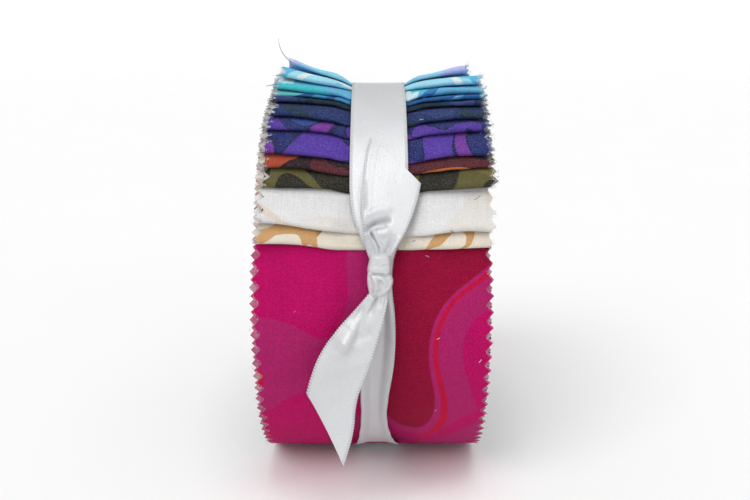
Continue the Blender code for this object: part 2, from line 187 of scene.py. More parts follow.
class Graph:
    """The nodes of one material."""

    def __init__(self, name: str) -> None:
        """Makes an empty material of this name.

        Args:
            name: Of the material.
        """
        self.material = bpy.data.materials.new(name)
        self.material.use_nodes = True
        self.tree = self.material.node_tree
        self.tree.nodes.clear()

    def node(self, kind: str, settings: dict, sockets: dict, out: int | str = 0) -> Sock:
        """Adds a node.

        Args:
            kind: The node's type.
            settings: Its properties, set first.
            sockets: Values or links of its inputs, by name or number.
            out: The output to hand back.

        Returns:
            That output.
        """
        made = self.tree.nodes.new(kind)
        for key, value in settings.items():
            setattr(made, key, value)
        for key, value in sockets.items():
            if isinstance(value, Sock):
                self.tree.links.new(value.socket, made.inputs[key])
            else:
                made.inputs[key].default_value = value
        return Sock(self, made.outputs[out])

    def maths(self, operation: str, a: Sock | float, b: Sock | float = 0.0) -> Sock:
        """A Math node of this operation."""
        return self.node("ShaderNodeMath", {"operation": operation}, {0: a, 1: b})

    def sine(self, value: Sock, pitch: float) -> Sock:
        """Sine of value, once up and down for every two pitches."""
        return self.maths("SINE", value * (math.pi / pitch))

    def mix(
        self, share: Sock | float, a: Sock | Colour, b: Sock | Colour, kind: str = "MIX"
    ) -> Sock:
        """Colour a turned by this share into colour b."""
        settings = {"data_type": "RGBA", "blend_type": kind}
        return self.node("ShaderNodeMix", settings, {0: share, 6: a, 7: b}, 2)

    def toned(self, shade: Sock | Colour, tone: Sock) -> Sock:
        """Colour times a tone."""
        return self.mix(1.0, shade, tone, "MULTIPLY")

    def vector(self, operation: str, a: Sock, b: Sock | tuple) -> Sock:
        """A Vector Math node of this operation."""
        return self.node("ShaderNodeVectorMath", {"operation": operation}, {0: a, 1: b})

    def noise(self, place: Sock, scale: float, detail: float = 2.0, out: int = 0) -> Sock:
        """Smooth noise about 0.5, as a value (out 0) or three of them (out 1)."""
        sockets = {"Vector": place, "Scale": scale, "Detail": detail, "Roughness": 0.55}
        return self.node("ShaderNodeTexNoise", {"noise_dimensions": "3D"}, sockets, out)

    def streaks(self, place: Sock, across: float, along: float) -> Sock:
        """Noise drawn out by these different scales across and along the cloth."""
        return self.noise(self.vector("MULTIPLY", place, (across, along, 0.0)), 1.0, 1.0)

    def step(self, value: Sock, low: float, high: float) -> Sock:
        """Zero below low, one above high, and an S between them."""
        sockets = {"Value": value, "From Min": low, "From Max": high}
        return self.node("ShaderNodeMapRange", {"interpolation_type": "SMOOTHSTEP"}, sockets)

    def attribute(self, name: str, out: str = "Vector") -> Sock:
        """The mesh's attribute of this name."""
        settings = {"attribute_name": name, "attribute_type": "GEOMETRY"}
        return self.node("ShaderNodeAttribute", settings, {}, out)

    def parts(self, vector: Sock) -> tuple[Sock, Sock, Sock]:
        """The three numbers of a vector.

        Args:
            vector: Of any place.

        Returns:
            A socket for each of them.
        """
        made = self.node("ShaderNodeSeparateXYZ", {}, {0: vector})
        outputs = made.socket.node.outputs
        return made, Sock(self, outputs[1]), Sock(self, outputs[2])

    def bump(self, height: Sock, depth: float, strength: float) -> Sock:
        """Normal bent by a height of at most depth metres."""
        sockets = {"Height": height, "Distance": depth, "Strength": strength}
        return self.node("ShaderNodeBump", {}, sockets)

    def finish(self, sockets: dict) -> bpy.types.Material:
        """Ends the graph in a Principled shader with these inputs, and hands back the material.

        Args:
            sockets: Values or sockets by the input's name.

        Returns:
            The finished material.
        """
        shader = self.node("ShaderNodeBsdfPrincipled", {}, sockets)
        made = self.tree.nodes.new("ShaderNodeOutputMaterial")
        self.tree.links.new(shader.socket, made.inputs["Surface"])
        return self.material


def weave(graph: Graph, across: Sock, along: Sock) -> Sock:
    """Plain weave about 0: the product of two sines, a bump for each thread that lies on top."""
    return graph.sine(across, THREAD) * graph.sine(along, THREAD)


def slubs(graph: Graph, cloth: Sock) -> Sock:
    """Uneven threads about 0: two noises, one drawn out along each direction of the cloth."""
    return graph.streaks(cloth, 2.6, 0.05) + graph.streaks(cloth, 0.05, 2.6) - 1.0


@dataclass(frozen=True)
class Motif:
    """One colour of a print: where a flowing field lies between two levels.

    Attributes:
        shade: Its display colour.
        low, high: The levels.
        second: Whether the second, finer field is read.
    """

    shade: Display
    low: float
    high: float
    second: bool = False


@dataclass(frozen=True)
class PrintedCotton:
    """Quilting cotton with a flowing print of its own colours, the print on one face.

    Attributes:
        name: The strip's name.
        ground: Display colour of the cloth between the motifs.
        motifs: The print's other colours, laid on in order.
        outline: Display colour of a thin line round each motif, or None.
        size: Millimetres for one swell of the print.
        seed: Which part of the endless print this cloth is cut from.
        warp: How far the print's shapes flow.
        pale: How strongly undyed threads show.
        fray: How strongly the cut edge is whitened.
        rough: How uneven the threads' tone is.
    """

    name: str
    ground: Display
    motifs: tuple[Motif, ...]
    size: float
    seed: float
    outline: Display | None = None
    warp: float = 1.3
    pale: float = 0.10
    fray: float = 0.55
    rough: float = 0.42

    # In the field's own units: how far the outline reaches past a motif, and how soft its sides are
    OUTLINE_REACH = 0.014
    SOFTNESS = 0.006

    @property
    def base(self) -> Colour:
        """The ground's linear colour."""
        return colour(*self.ground)

    def material(self) -> bpy.types.Material:
        """The print: bands of two warped noises, then weave, slubs, and a whitened cut edge.

        Returns:
            The finished material.
        """
        graph = Graph(f"{self.name}_cotton")
        cloth = graph.attribute("cloth")
        across, along, edge = graph.parts(cloth)
        spread = graph.vector("MULTIPLY", cloth, (1 / self.size, 0.75 / self.size, 0.0))
        place = graph.vector("ADD", spread, (self.seed, 0.0, self.seed))
        drift = graph.vector("SUBTRACT", graph.noise(place, 0.8, 0.0, 1), (0.5, 0.5, 0.5))
        flow = graph.vector("MULTIPLY", drift, (self.warp, self.warp, 0.0))
        place = graph.vector("ADD", place, flow)
        fields = (graph.noise(place, 1.0, 0.0), graph.noise(place, 1.5, 0.0))
        shade = self.base
        for motif in self.motifs:
            flow = fields[int(motif.second)]
            if self.outline:
                rim = self.band(graph, flow, motif, self.OUTLINE_REACH)
                shade = graph.mix(rim, shade, colour(*self.outline))
            shade = graph.mix(self.band(graph, flow, motif, 0.0), shade, colour(*motif.shade))
        threads = weave(graph, across, along)
        uneven = slubs(graph, cloth)
        worn = graph.noise(cloth, 0.09, 2.0)
        grain = graph.noise(cloth, 2.3, 1.0)
        level = 0.93 - self.rough / 2
        tone = threads * 0.14 + uneven * 0.22 + worn * 0.14 + grain * self.rough + level
        shade = graph.toned(shade, tone)
        specks = graph.step(graph.noise(cloth, 3.0, 0.0), 0.45, 0.80)
        shade = graph.mix(specks * self.pale, shade, WHITE)
        frayed = (1.0 - graph.step(edge, 0.15, 0.95)) * graph.step(grain, 0.42, 0.60)
        shade = graph.mix(frayed * self.fray, shade, (0.75, 0.75, 0.76, 1.0))
        height = threads * 0.45 + uneven * 0.9 + grain * 0.6 + graph.noise(cloth, 0.16, 2.0) * 3.0
        return graph.finish(
            {
                "Base Color": shade,
                "Roughness": 0.86 + uneven * 0.15,
                "Normal": graph.bump(height, 0.00016, 0.8),
                "Sheen Weight": 0.02,
                "Sheen Roughness": 0.5,
                "Specular IOR Level": 0.07,
            }
        )

    def band(self, graph: Graph, flow: Sock, motif: Motif, reach: float) -> Sock:
        """One where the field lies between the motif's levels, or past them by this reach.

        Args:
            graph: The material's graph.
            flow: The field.
            motif: Whose levels are read.
            reach: How far past them.

        Returns:
            A socket from 0 to 1.
        """
        low, high = motif.low - reach, motif.high + reach
        inside = graph.step(flow, low, low + self.SOFTNESS)
        return inside * (1.0 - graph.step(flow, high, high + self.SOFTNESS))


class PlainFace(Enum):
    """The two faces of a strip without a print: name, and how much more of the tint shows."""

    REVERSE = ("cotton_reverse", 0.0)
    CUT_EDGE = ("cotton_cut_edge", 0.20)

    def material(self) -> bpy.types.Material:
        """White cotton with its weave and slubs, and the print that soaks through as a tint.

        Returns:
            The finished material.
        """
        name, more = self.value
        graph = Graph(name)
        cloth = graph.attribute("cloth")
        across, along, _ = graph.parts(cloth)
        threads = weave(graph, across, along)
        uneven = slubs(graph, cloth)
        blotch = graph.step(graph.noise(cloth, 0.11, 1.0), 0.35, 0.65)
        tint = graph.attribute("tint", "Color")
        kept = graph.attribute("tint", "Alpha")
        shade = graph.mix(blotch * 0.30 + kept + (more - 0.15), (0.68, 0.665, 0.63, 1.0), tint)
        stain = graph.noise(cloth, 0.17, 0.0)
        clear = 1.15 - kept * 1.6
        ochre = graph.step(stain, 0.62, 0.66) * clear
        rose = (1.0 - graph.step(stain, 0.32, 0.36)) * clear
        shade = graph.mix(ochre * 0.7, shade, colour(190, 150, 90))
        shade = graph.mix(rose * 0.55, shade, colour(186, 120, 140))
        shade = graph.toned(shade, threads * 0.06 + uneven * 0.5 + 1.0)
        height = threads * 0.4 + uneven
        return graph.finish(
            {
                "Base Color": shade,
                "Roughness": 0.9 + uneven * 0.1,
                "Normal": graph.bump(height, 0.00015, 0.7),
                "Sheen Weight": 0.15,
                "Specular IOR Level": 0.2,
            }
        )


@dataclass(frozen=True)
class Satin:
    """White satin ribbon with a beaded woven edge.

    Attributes:
        shade: Its colour.
        bead: Millimetres from one bead of the edge to the next.
        selvage: Width of the beaded edge in millimetres.
    """

    shade: Colour = (0.635, 0.645, 0.66, 1.0)
    bead: float = BEAD
    selvage: float = 0.80

    def material(self) -> bpy.types.Material:
        """Smooth face with faint cross ribs, and beads of a raised sine along both edges, with painted
        shade in the notches between the beads.

        Returns:
            The finished material.
        """
        graph = Graph("white_satin")
        place = graph.attribute("ribbon")
        across, along, edge = graph.parts(place)
        rim = 1.0 - graph.step(edge, self.selvage - 0.12, self.selvage)
        beads = graph.sine(along, self.bead / 2) * 0.5 + 0.5
        # Painted shade: the notches between the beads near the outer edge, darkened below
        gap = (1.0 - beads) * (1.0 - graph.step(edge, 0.40, 0.65))
        seam = rim * graph.step(edge, self.selvage - 0.3, self.selvage - 0.18)
        worn = graph.noise(place, 0.12, 2.0)
        grain = graph.noise(place, 2.6, 1.0)
        # Dark grey mixed in: painted shade between the beads, and a darker line along the inner side of
        # the beaded edge
        shade = graph.mix(gap * 0.50 + seam * 0.18, self.shade, (0.28, 0.28, 0.30, 1.0))
        shade = graph.toned(shade, worn * 0.08 + grain * 0.30 + 0.81)
        floats = graph.streaks(place, 3.0, 0.12)
        height = grain * 1.6 + floats * 0.45 * (1.0 - rim) + beads * rim * 1.8
        return graph.finish(
            {
                "Base Color": shade,
                "Roughness": rim * 0.22 + floats * 0.08 + 0.33,
                "Normal": graph.bump(height, 0.00010, 0.6),
                "Metallic": 0.20,
            }
        )


class LooseThread:
    """White and faintly coloured threads."""

    def material(self) -> bpy.types.Material:
        """A pale thread whose tone drifts along it.

        Returns:
            The finished material.
        """
        graph = Graph("loose_thread")
        tint = graph.attribute("tint", "Color")
        place = graph.node("ShaderNodeTexCoord", {}, {}, "Object")
        tone = graph.noise(place, 900.0, 1.0) * 0.3 + 0.85
        shade = graph.toned(tint, tone)
        return graph.finish({"Base Color": shade, "Roughness": 0.8, "Sheen Weight": 0.2})


NIGHT_BLUE: Display = (32, 36, 84)
COTTONS = (
    PrintedCotton("magenta", (168, 30, 98), (
        Motif((180, 4, 92), 0.555, 0.80), Motif((142, 6, 50), 0.10, 0.375),
        Motif((186, 10, 58), 0.395, 0.42), Motif((180, 4, 92), 0.62, 0.70, True),
    ), 38.0, 32.9, warp=1.2, pale=0.015, fray=0.40, rough=0.75),
    PrintedCotton("tan", (220, 211, 196), (
        Motif((174, 118, 58), 0.545, 0.68), Motif((194, 150, 98), 0.36, 0.42, True),
    ), 20.0, 28.5),
    PrintedCotton("cream", (219, 218, 219), (
        Motif((217, 213, 208), 0.53, 0.66), Motif((216, 203, 190), 0.60, 0.66, True),
    ), 26.0, 5.4),
    PrintedCotton("olive", (44, 42, 34), (
        Motif((92, 87, 50), 0.48, 0.60), Motif((112, 98, 52), 0.60, 0.72, True),
    ), 21.0, 5.9, pale=0.05),
    PrintedCotton("rust", (46, 30, 36), (
        Motif((86, 38, 46), 0.43, 0.56), Motif((166, 70, 48), 0.67, 0.76),
        Motif((192, 110, 58), 0.66, 0.76, True),
    ), 19.0, 16.8, pale=0.05),
    PrintedCotton("grape", (36, 45, 104), (
        Motif((110, 54, 150), 0.55, 0.72), Motif((44, 70, 146), 0.33, 0.42),
        Motif((82, 54, 154), 0.58, 0.70, True),
    ), 24.0, 27.0, NIGHT_BLUE, pale=0.07),
    PrintedCotton("violet", (38, 48, 106), (
        Motif((112, 54, 148), 0.52, 0.66), Motif((82, 54, 150), 0.58, 0.72, True),
        Motif((44, 70, 144), 0.34, 0.41, True),
    ), 22.0, 26.9, NIGHT_BLUE, pale=0.07),
    PrintedCotton("navy", (28, 47, 98), (
        Motif((38, 57, 106), 0.52, 0.66), Motif((26, 50, 72), 0.34, 0.45),
    ), 22.0, 25.8, pale=0.08),
    PrintedCotton("pine", (10, 36, 56), (
        Motif((14, 50, 88), 0.50, 0.58), Motif((46, 62, 116), 0.61, 0.74),
    ), 18.0, 28.9, pale=0.07),
    PrintedCotton("surf", (18, 88, 152), (
        Motif((92, 190, 196), 0.52, 0.62), Motif((205, 226, 228), 0.64, 0.74),
        Motif((54, 140, 190), 0.33, 0.42),
    ), 19.0, 43.4),
    PrintedCotton("teal", (98, 176, 214), (
        Motif((42, 118, 182), 0.54, 0.64), Motif((200, 228, 232), 0.64, 0.72, True),
        Motif((60, 190, 200), 0.33, 0.42),
    ), 20.0, 34.7),
    PrintedCotton("aqua", (160, 218, 236), (
        Motif((88, 182, 222), 0.54, 0.66), Motif((222, 236, 236), 0.36, 0.45),
        Motif((98, 190, 218), 0.64, 0.74, True),
    ), 20.0, 40.0, fray=0.90),
    PrintedCotton("sky", (162, 206, 240), (
        Motif((190, 188, 238), 0.53, 0.63), Motif((142, 212, 238), 0.36, 0.45),
        Motif((160, 188, 240), 0.62, 0.72, True),
    ), 19.0, 44.3),
)
# By the record's material slots
PRINTS = {f"cotton_{cotton.name}": cotton for cotton in COTTONS}


# Meshes


def mesh_of(name: str, points: Array, faces: list) -> bpy.types.Mesh:
    """A mesh in metres of these points in millimetres.

    Args:
        name: Of the mesh.
        points: One in each row.
        faces: Numbers of each face's points.

    Returns:
        The mesh.
    """
    mesh = bpy.data.meshes.new(name)
    mesh.from_pydata((points * MM).tolist(), [], faces)
    mesh.update()
    return mesh


def grid_faces(rows: int, columns: int, loop: bool = False, ring: bool = False) -> Array:
    """Quads of a grid of points that is numbered row by row.

    Args:
        rows: Of the grid.
        columns: Of the grid.
        loop: Whether the last row joins the first.
        ring: Whether the last column joins the first.

    Returns:
        The numbers of each quad's four points.
    """
    last_row, last_column = (rows if loop else rows - 1), (columns if ring else columns - 1)
    r, c = np.meshgrid(np.arange(last_row), np.arange(last_column), indexing="ij")
    after, beside = (r + 1) % rows * columns, (c + 1) % columns
    quads = [r * columns + c, r * columns + beside, after + beside, after + c]
    return np.stack(quads, axis=-1).reshape(-1, 4)


def put(mesh: bpy.types.Mesh, name: str, values: Array) -> None:
    """Gives the mesh's points three or four numbers each, as an attribute of this name.

    Args:
        mesh: The mesh.
        name: Of the attribute.
        values: A row for each point.
    """
    kind, slot = ("FLOAT_VECTOR", "vector") if values.shape[-1] == 3 else ("FLOAT_COLOR", "color")
    made = mesh.attributes.new(name, kind, "POINT")
    made.data.foreach_set(slot, values.astype(np.float32).ravel())


def linked(name: str, data: bpy.types.ID, *finishes: bpy.types.Material) -> bpy.types.Object:
    """A new object of this data in the scene, dressed in these finishes.

    Args:
        name: Of the object.
        data: Its mesh, light or camera.
        finishes: Its materials, in the order of their slots.

    Returns:
        The object.
    """
    made = bpy.data.objects.new(name, data)
    bpy.context.scene.collection.objects.link(made)
    for finish in finishes:
        data.materials.append(finish)
    return made


def tinted(mesh: bpy.types.Mesh, shade: Colour, soaked: float) -> None:
    """Gives every point of the mesh the same tint, its fourth number how much it soaks through."""
    put(mesh, "tint", np.tile(np.array([*shade[:3], soaked]), (len(mesh.vertices), 1)))


def thickened(mesh: bpy.types.Mesh, materials: list, thickness: float) -> bpy.types.Object:
    """Turns an open surface into cloth, half its thickness to each side.

    Args:
        mesh: The surface, its normals on the face side.
        materials: Finish of the face, or of the face, the reverse and the cut edge.
        thickness: Millimetres.

    Returns:
        The object, with its walls in its mesh and no modifier left.
    """
    made = linked(mesh.name, mesh, *materials)
    wall = made.modifiers.new("thickness", "SOLIDIFY")
    wall.thickness = thickness * MM
    wall.offset = 0.0
    wall.material_offset = min(1, len(materials) - 1)
    wall.material_offset_rim = min(2, len(materials) - 1)
    bpy.context.view_layer.update()
    walled = made.evaluated_get(bpy.context.evaluated_depsgraph_get())
    solid = bpy.data.meshes.new_from_object(walled)
    made.modifiers.clear()
    made.data = solid
    bpy.data.meshes.remove(mesh)
    solid.name = made.name
    solid.shade_smooth()
    solid.set_sharp_from_angle(angle=math.radians(SHARP_ANGLE))
    return made


def declare(piece: bpy.types.Object, slot: str, *nodes: str) -> None:
    """Lets the piece ride on the roll in place of these CAD nodes, and logs it.

    Args:
        piece: The piece.
        slot: The record's material slot; not used.
        nodes: CAD nodes that it stands for, if any.
    """
    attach(piece, "root")
    if nodes:
        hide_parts(*nodes)
    piece.data.calc_loop_triangles()
    LOG.info("%s: %d triangles", piece.name, len(piece.data.loop_triangles))


# The wound strips


@dataclass
class Winding:
    """The stack of folded strips, wound on a spiral round a core and squeezed into its outline.

    Attributes:
        folds: Angles of every fold at its left end, under the ribbon and at its right end.
        count: Folded strips in the stack.
        thickness: Of the whole stack.
        tail_radius: From the core to the outermost strip's face at the innermost fold.
        tail_angle: Angle round the axis of that fold.
        radius: Of the roll's outline.
        core_offset, core_angle: From the axis to the core that the turns run round.
        axis_y, axis_z: Where the axis is.
        half_length: Of a strip folded in half.
        puff_room: Kept free under the outline for the thickness of the rounded folds.
        ribbon_middle, waist_half, waist_shoulder, waist_depth: The ribbon's place on X, half the
            width that it draws in, where the cloth is back at its height, and how far it goes in.
        lowest: Height of the middle of the cloth that lies on the floor.
        crown_height, crown_angle, crown_spread: How far the top stands over the outline, where it
            is highest, and the width of its bell curve.
        flare_deep, waist_deep: Depth under the outline at which the flare and the waist have faded.
    """

    folds: Array
    count: int = 24
    thickness: float = 17.4
    tail_radius: float = 52.1
    tail_angle: float = 19.0
    radius: float = 57.0
    core_offset: float = 5.0
    core_angle: float = 5.0
    axis_y: float = 3.6
    axis_z: float = 55.93
    half_length: float = 564.5
    puff_room: float = 1.0
    ribbon_middle: float = 1.3
    waist_half: float = 8.6
    waist_shoulder: float = 13.0
    waist_depth: float = 1.3
    lowest: float = 0.16
    crown_height: float = 0.55
    crown_angle: float = 88.0
    crown_spread: float = 17.0
    flare_deep: float = 9.2
    waist_deep: float = 5.5

    # Degrees between two stations of the spiral's tables, and how far the tables reach
    STEP = 0.5
    REACH = (-6.0, 1500.0)
    # Radius of the hollow in the core, and degrees in which the others close up behind a strip's end
    HOLLOW = 0.6
    CLOSING = 14.0
    # Where the outermost strip's winding steps out by one strip, and over what angle; and the room
    # for the folds: over what angle it ends past the last one, and where it starts again
    LAP = (322.0, 38.0)
    ROOM = (35.0, 330.0, 30.0)
    # Of the flare, on the left and on the right of the ribbon: its steep part's height and length,
    # and its slope past that; then its distance from the ribbon's middle, and its angles
    FLARE_SIDES = ((3.3, 2.9), (5.0, 3.5), (0.19, 0.085))
    FLARE_FROM = 8.0
    FLARE_ANGLES = (74.0, 23.0, 130.0, 33.0)
    # How much nearer to the ribbon the waist's shoulders stand at the top, and from where to where
    NARROW = 3.8
    NARROW_ANGLES = (68.0, 12.0, 118.0, 14.0)
    # Height over the axis under which the depth is counted from the floor
    UNDERSIDE = -50.0

    def __post_init__(self) -> None:
        """Works out the spiral's tables."""
        self.pitch = self.thickness / self.count
        self.tail = float(self.core_polar(self.tail_angle))
        self.fold_at = self.core_polar(self.folds[:, [0, 2]].mean(axis=1)) - self.tail
        self.grid = np.arange(*self.REACH, self.STEP)
        self._wind()
        self._fit()

    def core_polar(self, angle: Array) -> Array:
        """Angle round the core of the outline's point at this angle round the axis: the arc tangent
        of its height over its reach, both counted from the core.

        Args:
            angle: Angles round the axis.

        Returns:
            Angles round the core.
        """
        a, c = np.radians(angle), math.radians(self.core_angle)
        up = self.radius * np.sin(a) - self.core_offset * math.sin(c)
        out = self.radius * np.cos(a) - self.core_offset * math.cos(c)
        return np.degrees(np.arctan2(up, out))

    def _wind(self) -> None:
        """Outer radius of every strip over the winding.

        The radius falls by the stack's thickness each turn, less what the strips outside it take.
        Strips are equally long, so the outer ones end first and the others close up behind them.
        """
        outer = self.tail_radius + self.thickness * (1 - self.grid / 360.0)
        above = np.zeros_like(self.grid)
        step = math.radians(self.STEP)
        self.outer = np.zeros((self.count, len(self.grid)))
        self.run = np.zeros_like(self.outer)
        for place in reversed(range(self.count)):
            rho = np.maximum(outer - above, self.pitch + self.HOLLOW)
            middle = rho - self.pitch / 2
            run = np.concatenate([[0.0], np.cumsum((middle[1:] + middle[:-1]) / 2 * step)])
            run -= np.interp(self.fold_at[place], self.grid, run)
            self.outer[place], self.run[place] = rho, run
            end = np.interp(self.half_length, run, self.grid)
            ended = smooth((self.grid - end) / self.CLOSING)
            above = above + self.pitch * (1 - ended)

    def _fit(self) -> None:
        """How much each direction is stretched so that the folds' line follows the outline.

        The envelope runs through the outer radii of the folds and then along the last strip. The
        outline is a circle round the axis, seen from the core, cut off at the floor.
        """
        self.turn = np.arange(0.0, 360.0 + self.STEP, self.STEP)
        last = self.fold_at[-1]
        lips = [np.interp(w, self.grid, outer) for w, outer in zip(self.fold_at, self.outer)]
        along = self.tail_radius + self.thickness * (1 - self.turn / 360.0)
        lap_from, lap_over = self.LAP
        along = along + self.pitch * smooth((self.turn - lap_from) / lap_over)
        self.envelope = np.where(self.turn < last, np.interp(self.turn, self.fold_at, lips), along)
        ends_over, start_from, start_over = self.ROOM
        folds = 1 - smooth((self.turn - last) / ends_over)
        folds = folds + smooth((self.turn - start_from) / start_over)
        reach = self.radius - self.puff_room * np.clip(folds, 0.0, 1.0)
        a = np.radians(self.turn + self.tail)
        away = a - math.radians(self.core_angle)
        edge = np.sqrt(reach**2 - (self.core_offset * np.sin(away)) ** 2)
        edge = edge - self.core_offset * np.cos(away)
        core_z = self.axis_z + self.core_offset * math.sin(math.radians(self.core_angle))
        floor = core_z / np.maximum(-np.sin(a), 0.05)
        self.outline = np.where(np.sin(a) < 0, np.minimum(edge, floor), edge)

    def around_ribbon(self, x: Array, narrow: Array | float = 0.0) -> Array:
        """One under the ribbon, down along an S to zero at the shoulders, which narrow draws in."""
        reach = np.abs(x - self.ribbon_middle) + narrow
        return 1 - smooth((reach - self.waist_half) / (self.waist_shoulder - self.waist_half))

    def crown(self, angle: Array) -> Array:
        """How far the top is raised over the outline: a bell curve of the angle."""
        return self.crown_height * bell(angle - self.crown_angle, self.crown_spread)

    def flare(self, angle: Array, x: Array) -> Array:
        """How far the cloth stands up at the top: steeply beside the ribbon, by one less an
        exponential of the reach beyond it, and then in proportion to the reach.

        Args:
            angle: Angles round the axis.
            x: Places on X.

        Returns:
            Heights over the outline.
        """
        left = x < self.ribbon_middle
        height, length, slope = (np.where(left, *sides) for sides in self.FLARE_SIDES)
        reach = np.maximum(np.abs(x - self.ribbon_middle) - self.FLARE_FROM, 0.0)
        steep = height * (1 - np.exp(-reach / length))
        return window(angle, *self.FLARE_ANGLES) * (steep + slope * reach)

    def place(self, winding: Array, radius: Array, lift: Array, x: Array) -> Array:
        """Points of the wound cloth.

        The radius is scaled by outline over envelope, a share that fades towards the core by the
        square of the depth. Then the flare and the crown are added and the waist taken off, along
        the direction from the axis and fading with depth. Nothing lies lower than the floor.

        Args:
            winding: Winding angle.
            radius: Spiral radius round the core.
            lift: Local height off the spiral.
            x: Place across the strips.

        Returns:
            Points in millimetres, in the frame of the model.
        """
        winding, radius, lift, x = np.broadcast_arrays(winding, radius, lift, x)
        turn = np.mod(winding, 360.0)
        envelope = np.interp(turn, self.turn, self.envelope)
        outline = np.interp(turn, self.turn, self.outline)
        share = np.clip(radius / envelope, 0.0, 1.0)
        fitted = radius * (1 + (outline / envelope - 1) * share**2)
        a, c = np.radians(winding + self.tail), math.radians(self.core_angle)
        out = self.core_offset * math.cos(c) + fitted * np.cos(a)
        up = self.core_offset * math.sin(c) + fitted * np.sin(a)
        angle = np.mod(np.degrees(np.arctan2(up, out)), 360.0)
        reach = np.hypot(out, up)
        depth = np.maximum(self.radius - reach, 0.0)
        depth = np.where(up < self.UNDERSIDE, np.maximum(self.axis_z + up, 0.0), depth)
        reach = reach + lift
        reach = reach + self.flare(angle, x) * np.clip(1 - depth / self.flare_deep, 0.0, 1.0)
        narrow = self.NARROW * window(angle, *self.NARROW_ANGLES)
        waist = self.waist_depth * self.around_ribbon(x, narrow) - self.crown(angle)
        reach = reach - waist * np.clip(1 - depth / self.waist_deep, 0.0, 1.0)
        y = self.axis_y - reach * np.cos(np.radians(angle))
        z = np.maximum(self.axis_z + reach * np.sin(np.radians(angle)), self.lowest)
        return np.stack([x, y, z], axis=-1)


@dataclass
class FoldedStrip:
    """One strip of pinked cotton, folded in half across its length and wound with the others.

    Attributes:
        name: The piece's name.
        place: Its number in the stack, 0 innermost.
        slot: The record's material slot.
        shift, under_shift: How far its upper and its under layer lie to the right.
        puff: How far the rounded fold stands up at the strip's ends.
        nodes: CAD nodes that it stands for.
        tuck: How far the fold's left and right corners are drawn in.
        tip: How far they stand up.
        width: Of the strip.
        settled: Share of the shifts that is kept in the wound turns.
        soaked: How strongly the print shows on the reverse.
        gap: How far the fold's lower side stands off the strip under it.
        right_teeth: Depth of the right edge's teeth near the fold, as a share of the others'.
        tooth_pitch, tooth_depth: Of the pinked edges.
        cloth: Thickness of the cloth.
        fine_step: From one close row to the next.
        frayed_edge: Once built, points of its cut edges, their tint, and how much they are seen.
    """

    name: str
    place: int
    slot: str
    shift: float
    under_shift: float
    puff: float
    nodes: tuple[str, ...]
    tuck: tuple[float, float] = (0.0, 0.0)
    tip: tuple[float, float] = (0.0, 0.0)
    width: float = 62.3
    settled: float = 0.2
    soaked: float = 0.30
    gap: float = 0.36
    right_teeth: float = 1.0
    tooth_pitch: float = 4.4
    tooth_depth: float = 2.0
    cloth: float = 0.26
    fine_step: float = 1.1
    frayed_edge: tuple = ()

    # Columns across the strip, those at CUT standing for its cut edges
    CUT = 40.0
    EDGE_COLUMNS = (-CUT, CUT)
    PLAIN_COLUMNS = (-CUT, -29.3, -11.7, -7.3, 9.9, 14.3, 29.3, CUT)
    FINE_EXTRA = (
        -27.2, -25.0, -22.6, -20.0, -17.2, -14.4, -9.6, -4.6, -1.6, 1.3,
        4.2, 7.2, 12.1, 16.8, 19.4, 22.0, 24.6, 27.0,
    )
    # Angles round the rounded fold, its length along the cloth of each layer, and its reach
    NOSE_TURNS = (-90.0, -68.0, -46.0, -23.0, 0.0, 23.0, 46.0, 68.0, 90.0)
    NOSE_UNDER = 4.4
    NOSE_UPPER = 2.2
    NOSE_REACH = 1.2
    # Depths of the teeth as shares of the full one, and how many teeth before they repeat
    UNEVEN_TEETH = (0.82, 1.06)
    TEETH = 1024
    # How far the close rows reach under the next fold, and how many folds later lies the one past
    # which the strip is hidden and needs two columns only
    COVER_LAP = 3.5
    TURN_OF_FOLDS = 13
    # Distances past the fold: of the outermost strip's last close row and first wide one
    DENSE_TO = 26.4
    WIDE_FROM = 28.6
    # Where a shift starts to settle, where the next turns cover the strip, each with the length
    # over which it happens, how far the covered edge is drawn in, and how far the worn teeth reach
    SETTLING = (40.0, 60.0)
    BURIED = (198.0, 16.0)
    BURIED_INSET = 0.9
    WORN_REACH = 14.0
    # How far from the ribbon a fold dips, how far across its ends stand, and its radius
    DIP_REACH = 15.0
    HALF_SPAN = 31.0
    FOLD_RADIUS = 55.0
    # Where the tucks and the tips of the corners start across the strip, and over what width they
    # grow; then how far they reach along the upper layer, and how much further on the under one
    TUCK_SPAN = (11.0, 20.0)
    TIP_SPAN = (15.0, 14.0)
    TUCK_REACH = (11.0, 9.0)
    TIP_REACH = 7.0
    # How far past the fold it takes to sink under the next strip at most, how far its gap reaches,
    # how far its line is felt, and where its lift passes from the outline to the spiral
    LONGEST_FALL = 8.0
    GAP_REACH = 2.6
    LINE_REACH = 45.0
    INNER = (60.0, 200.0)
    # How a layer drifts along its winding: how far, and the length of its sine
    DRIFT = 0.30
    DRIFT_LENGTH = 95.0
    # Along the cloth from one strip's print to the next one's
    PRINT_OFFSET = 137.0
    # How often loose threads stand out of edges at the fold, elsewhere, and on hidden strips
    SEEN_FOLD = 1.0
    SEEN_EDGE = 0.1
    SEEN_HIDDEN = 0.35
    # Sines across the strip in the fold's line and in its height: height, length, and shift from
    # strip to strip; and the share of the line's that the ribbon holds straight
    LINE_WAVES = ((0.26, 4.1, 2.3), (0.20, 7.3, 4.1))
    HEIGHT_WAVES = ((0.16, 5.3, 1.9), (0.12, 2.9, 5.0))
    HELD_STRAIGHT = 0.7
    # Fullness of the rounded fold at its middle, its gain towards the ends and that gain's power;
    # its most, as a share of what shows, and more; and the share that the ribbon presses flat
    FULLNESS = (0.62, 0.38, 1.6)
    MOST_SWELL = (0.30, 0.15)
    PRESSED = 0.72
    # Depth of the rounded fold along the cloth: a least, and a share of half its height
    NOSE_DEPTH = (0.45, 0.75)
    # Radius under which the plain rows get closer, their step as a share of it, and its least; and
    # the step in which they are counted off
    CORE_STEP = (8.0, 0.26, 0.5)
    COUNT_STEP = 0.1
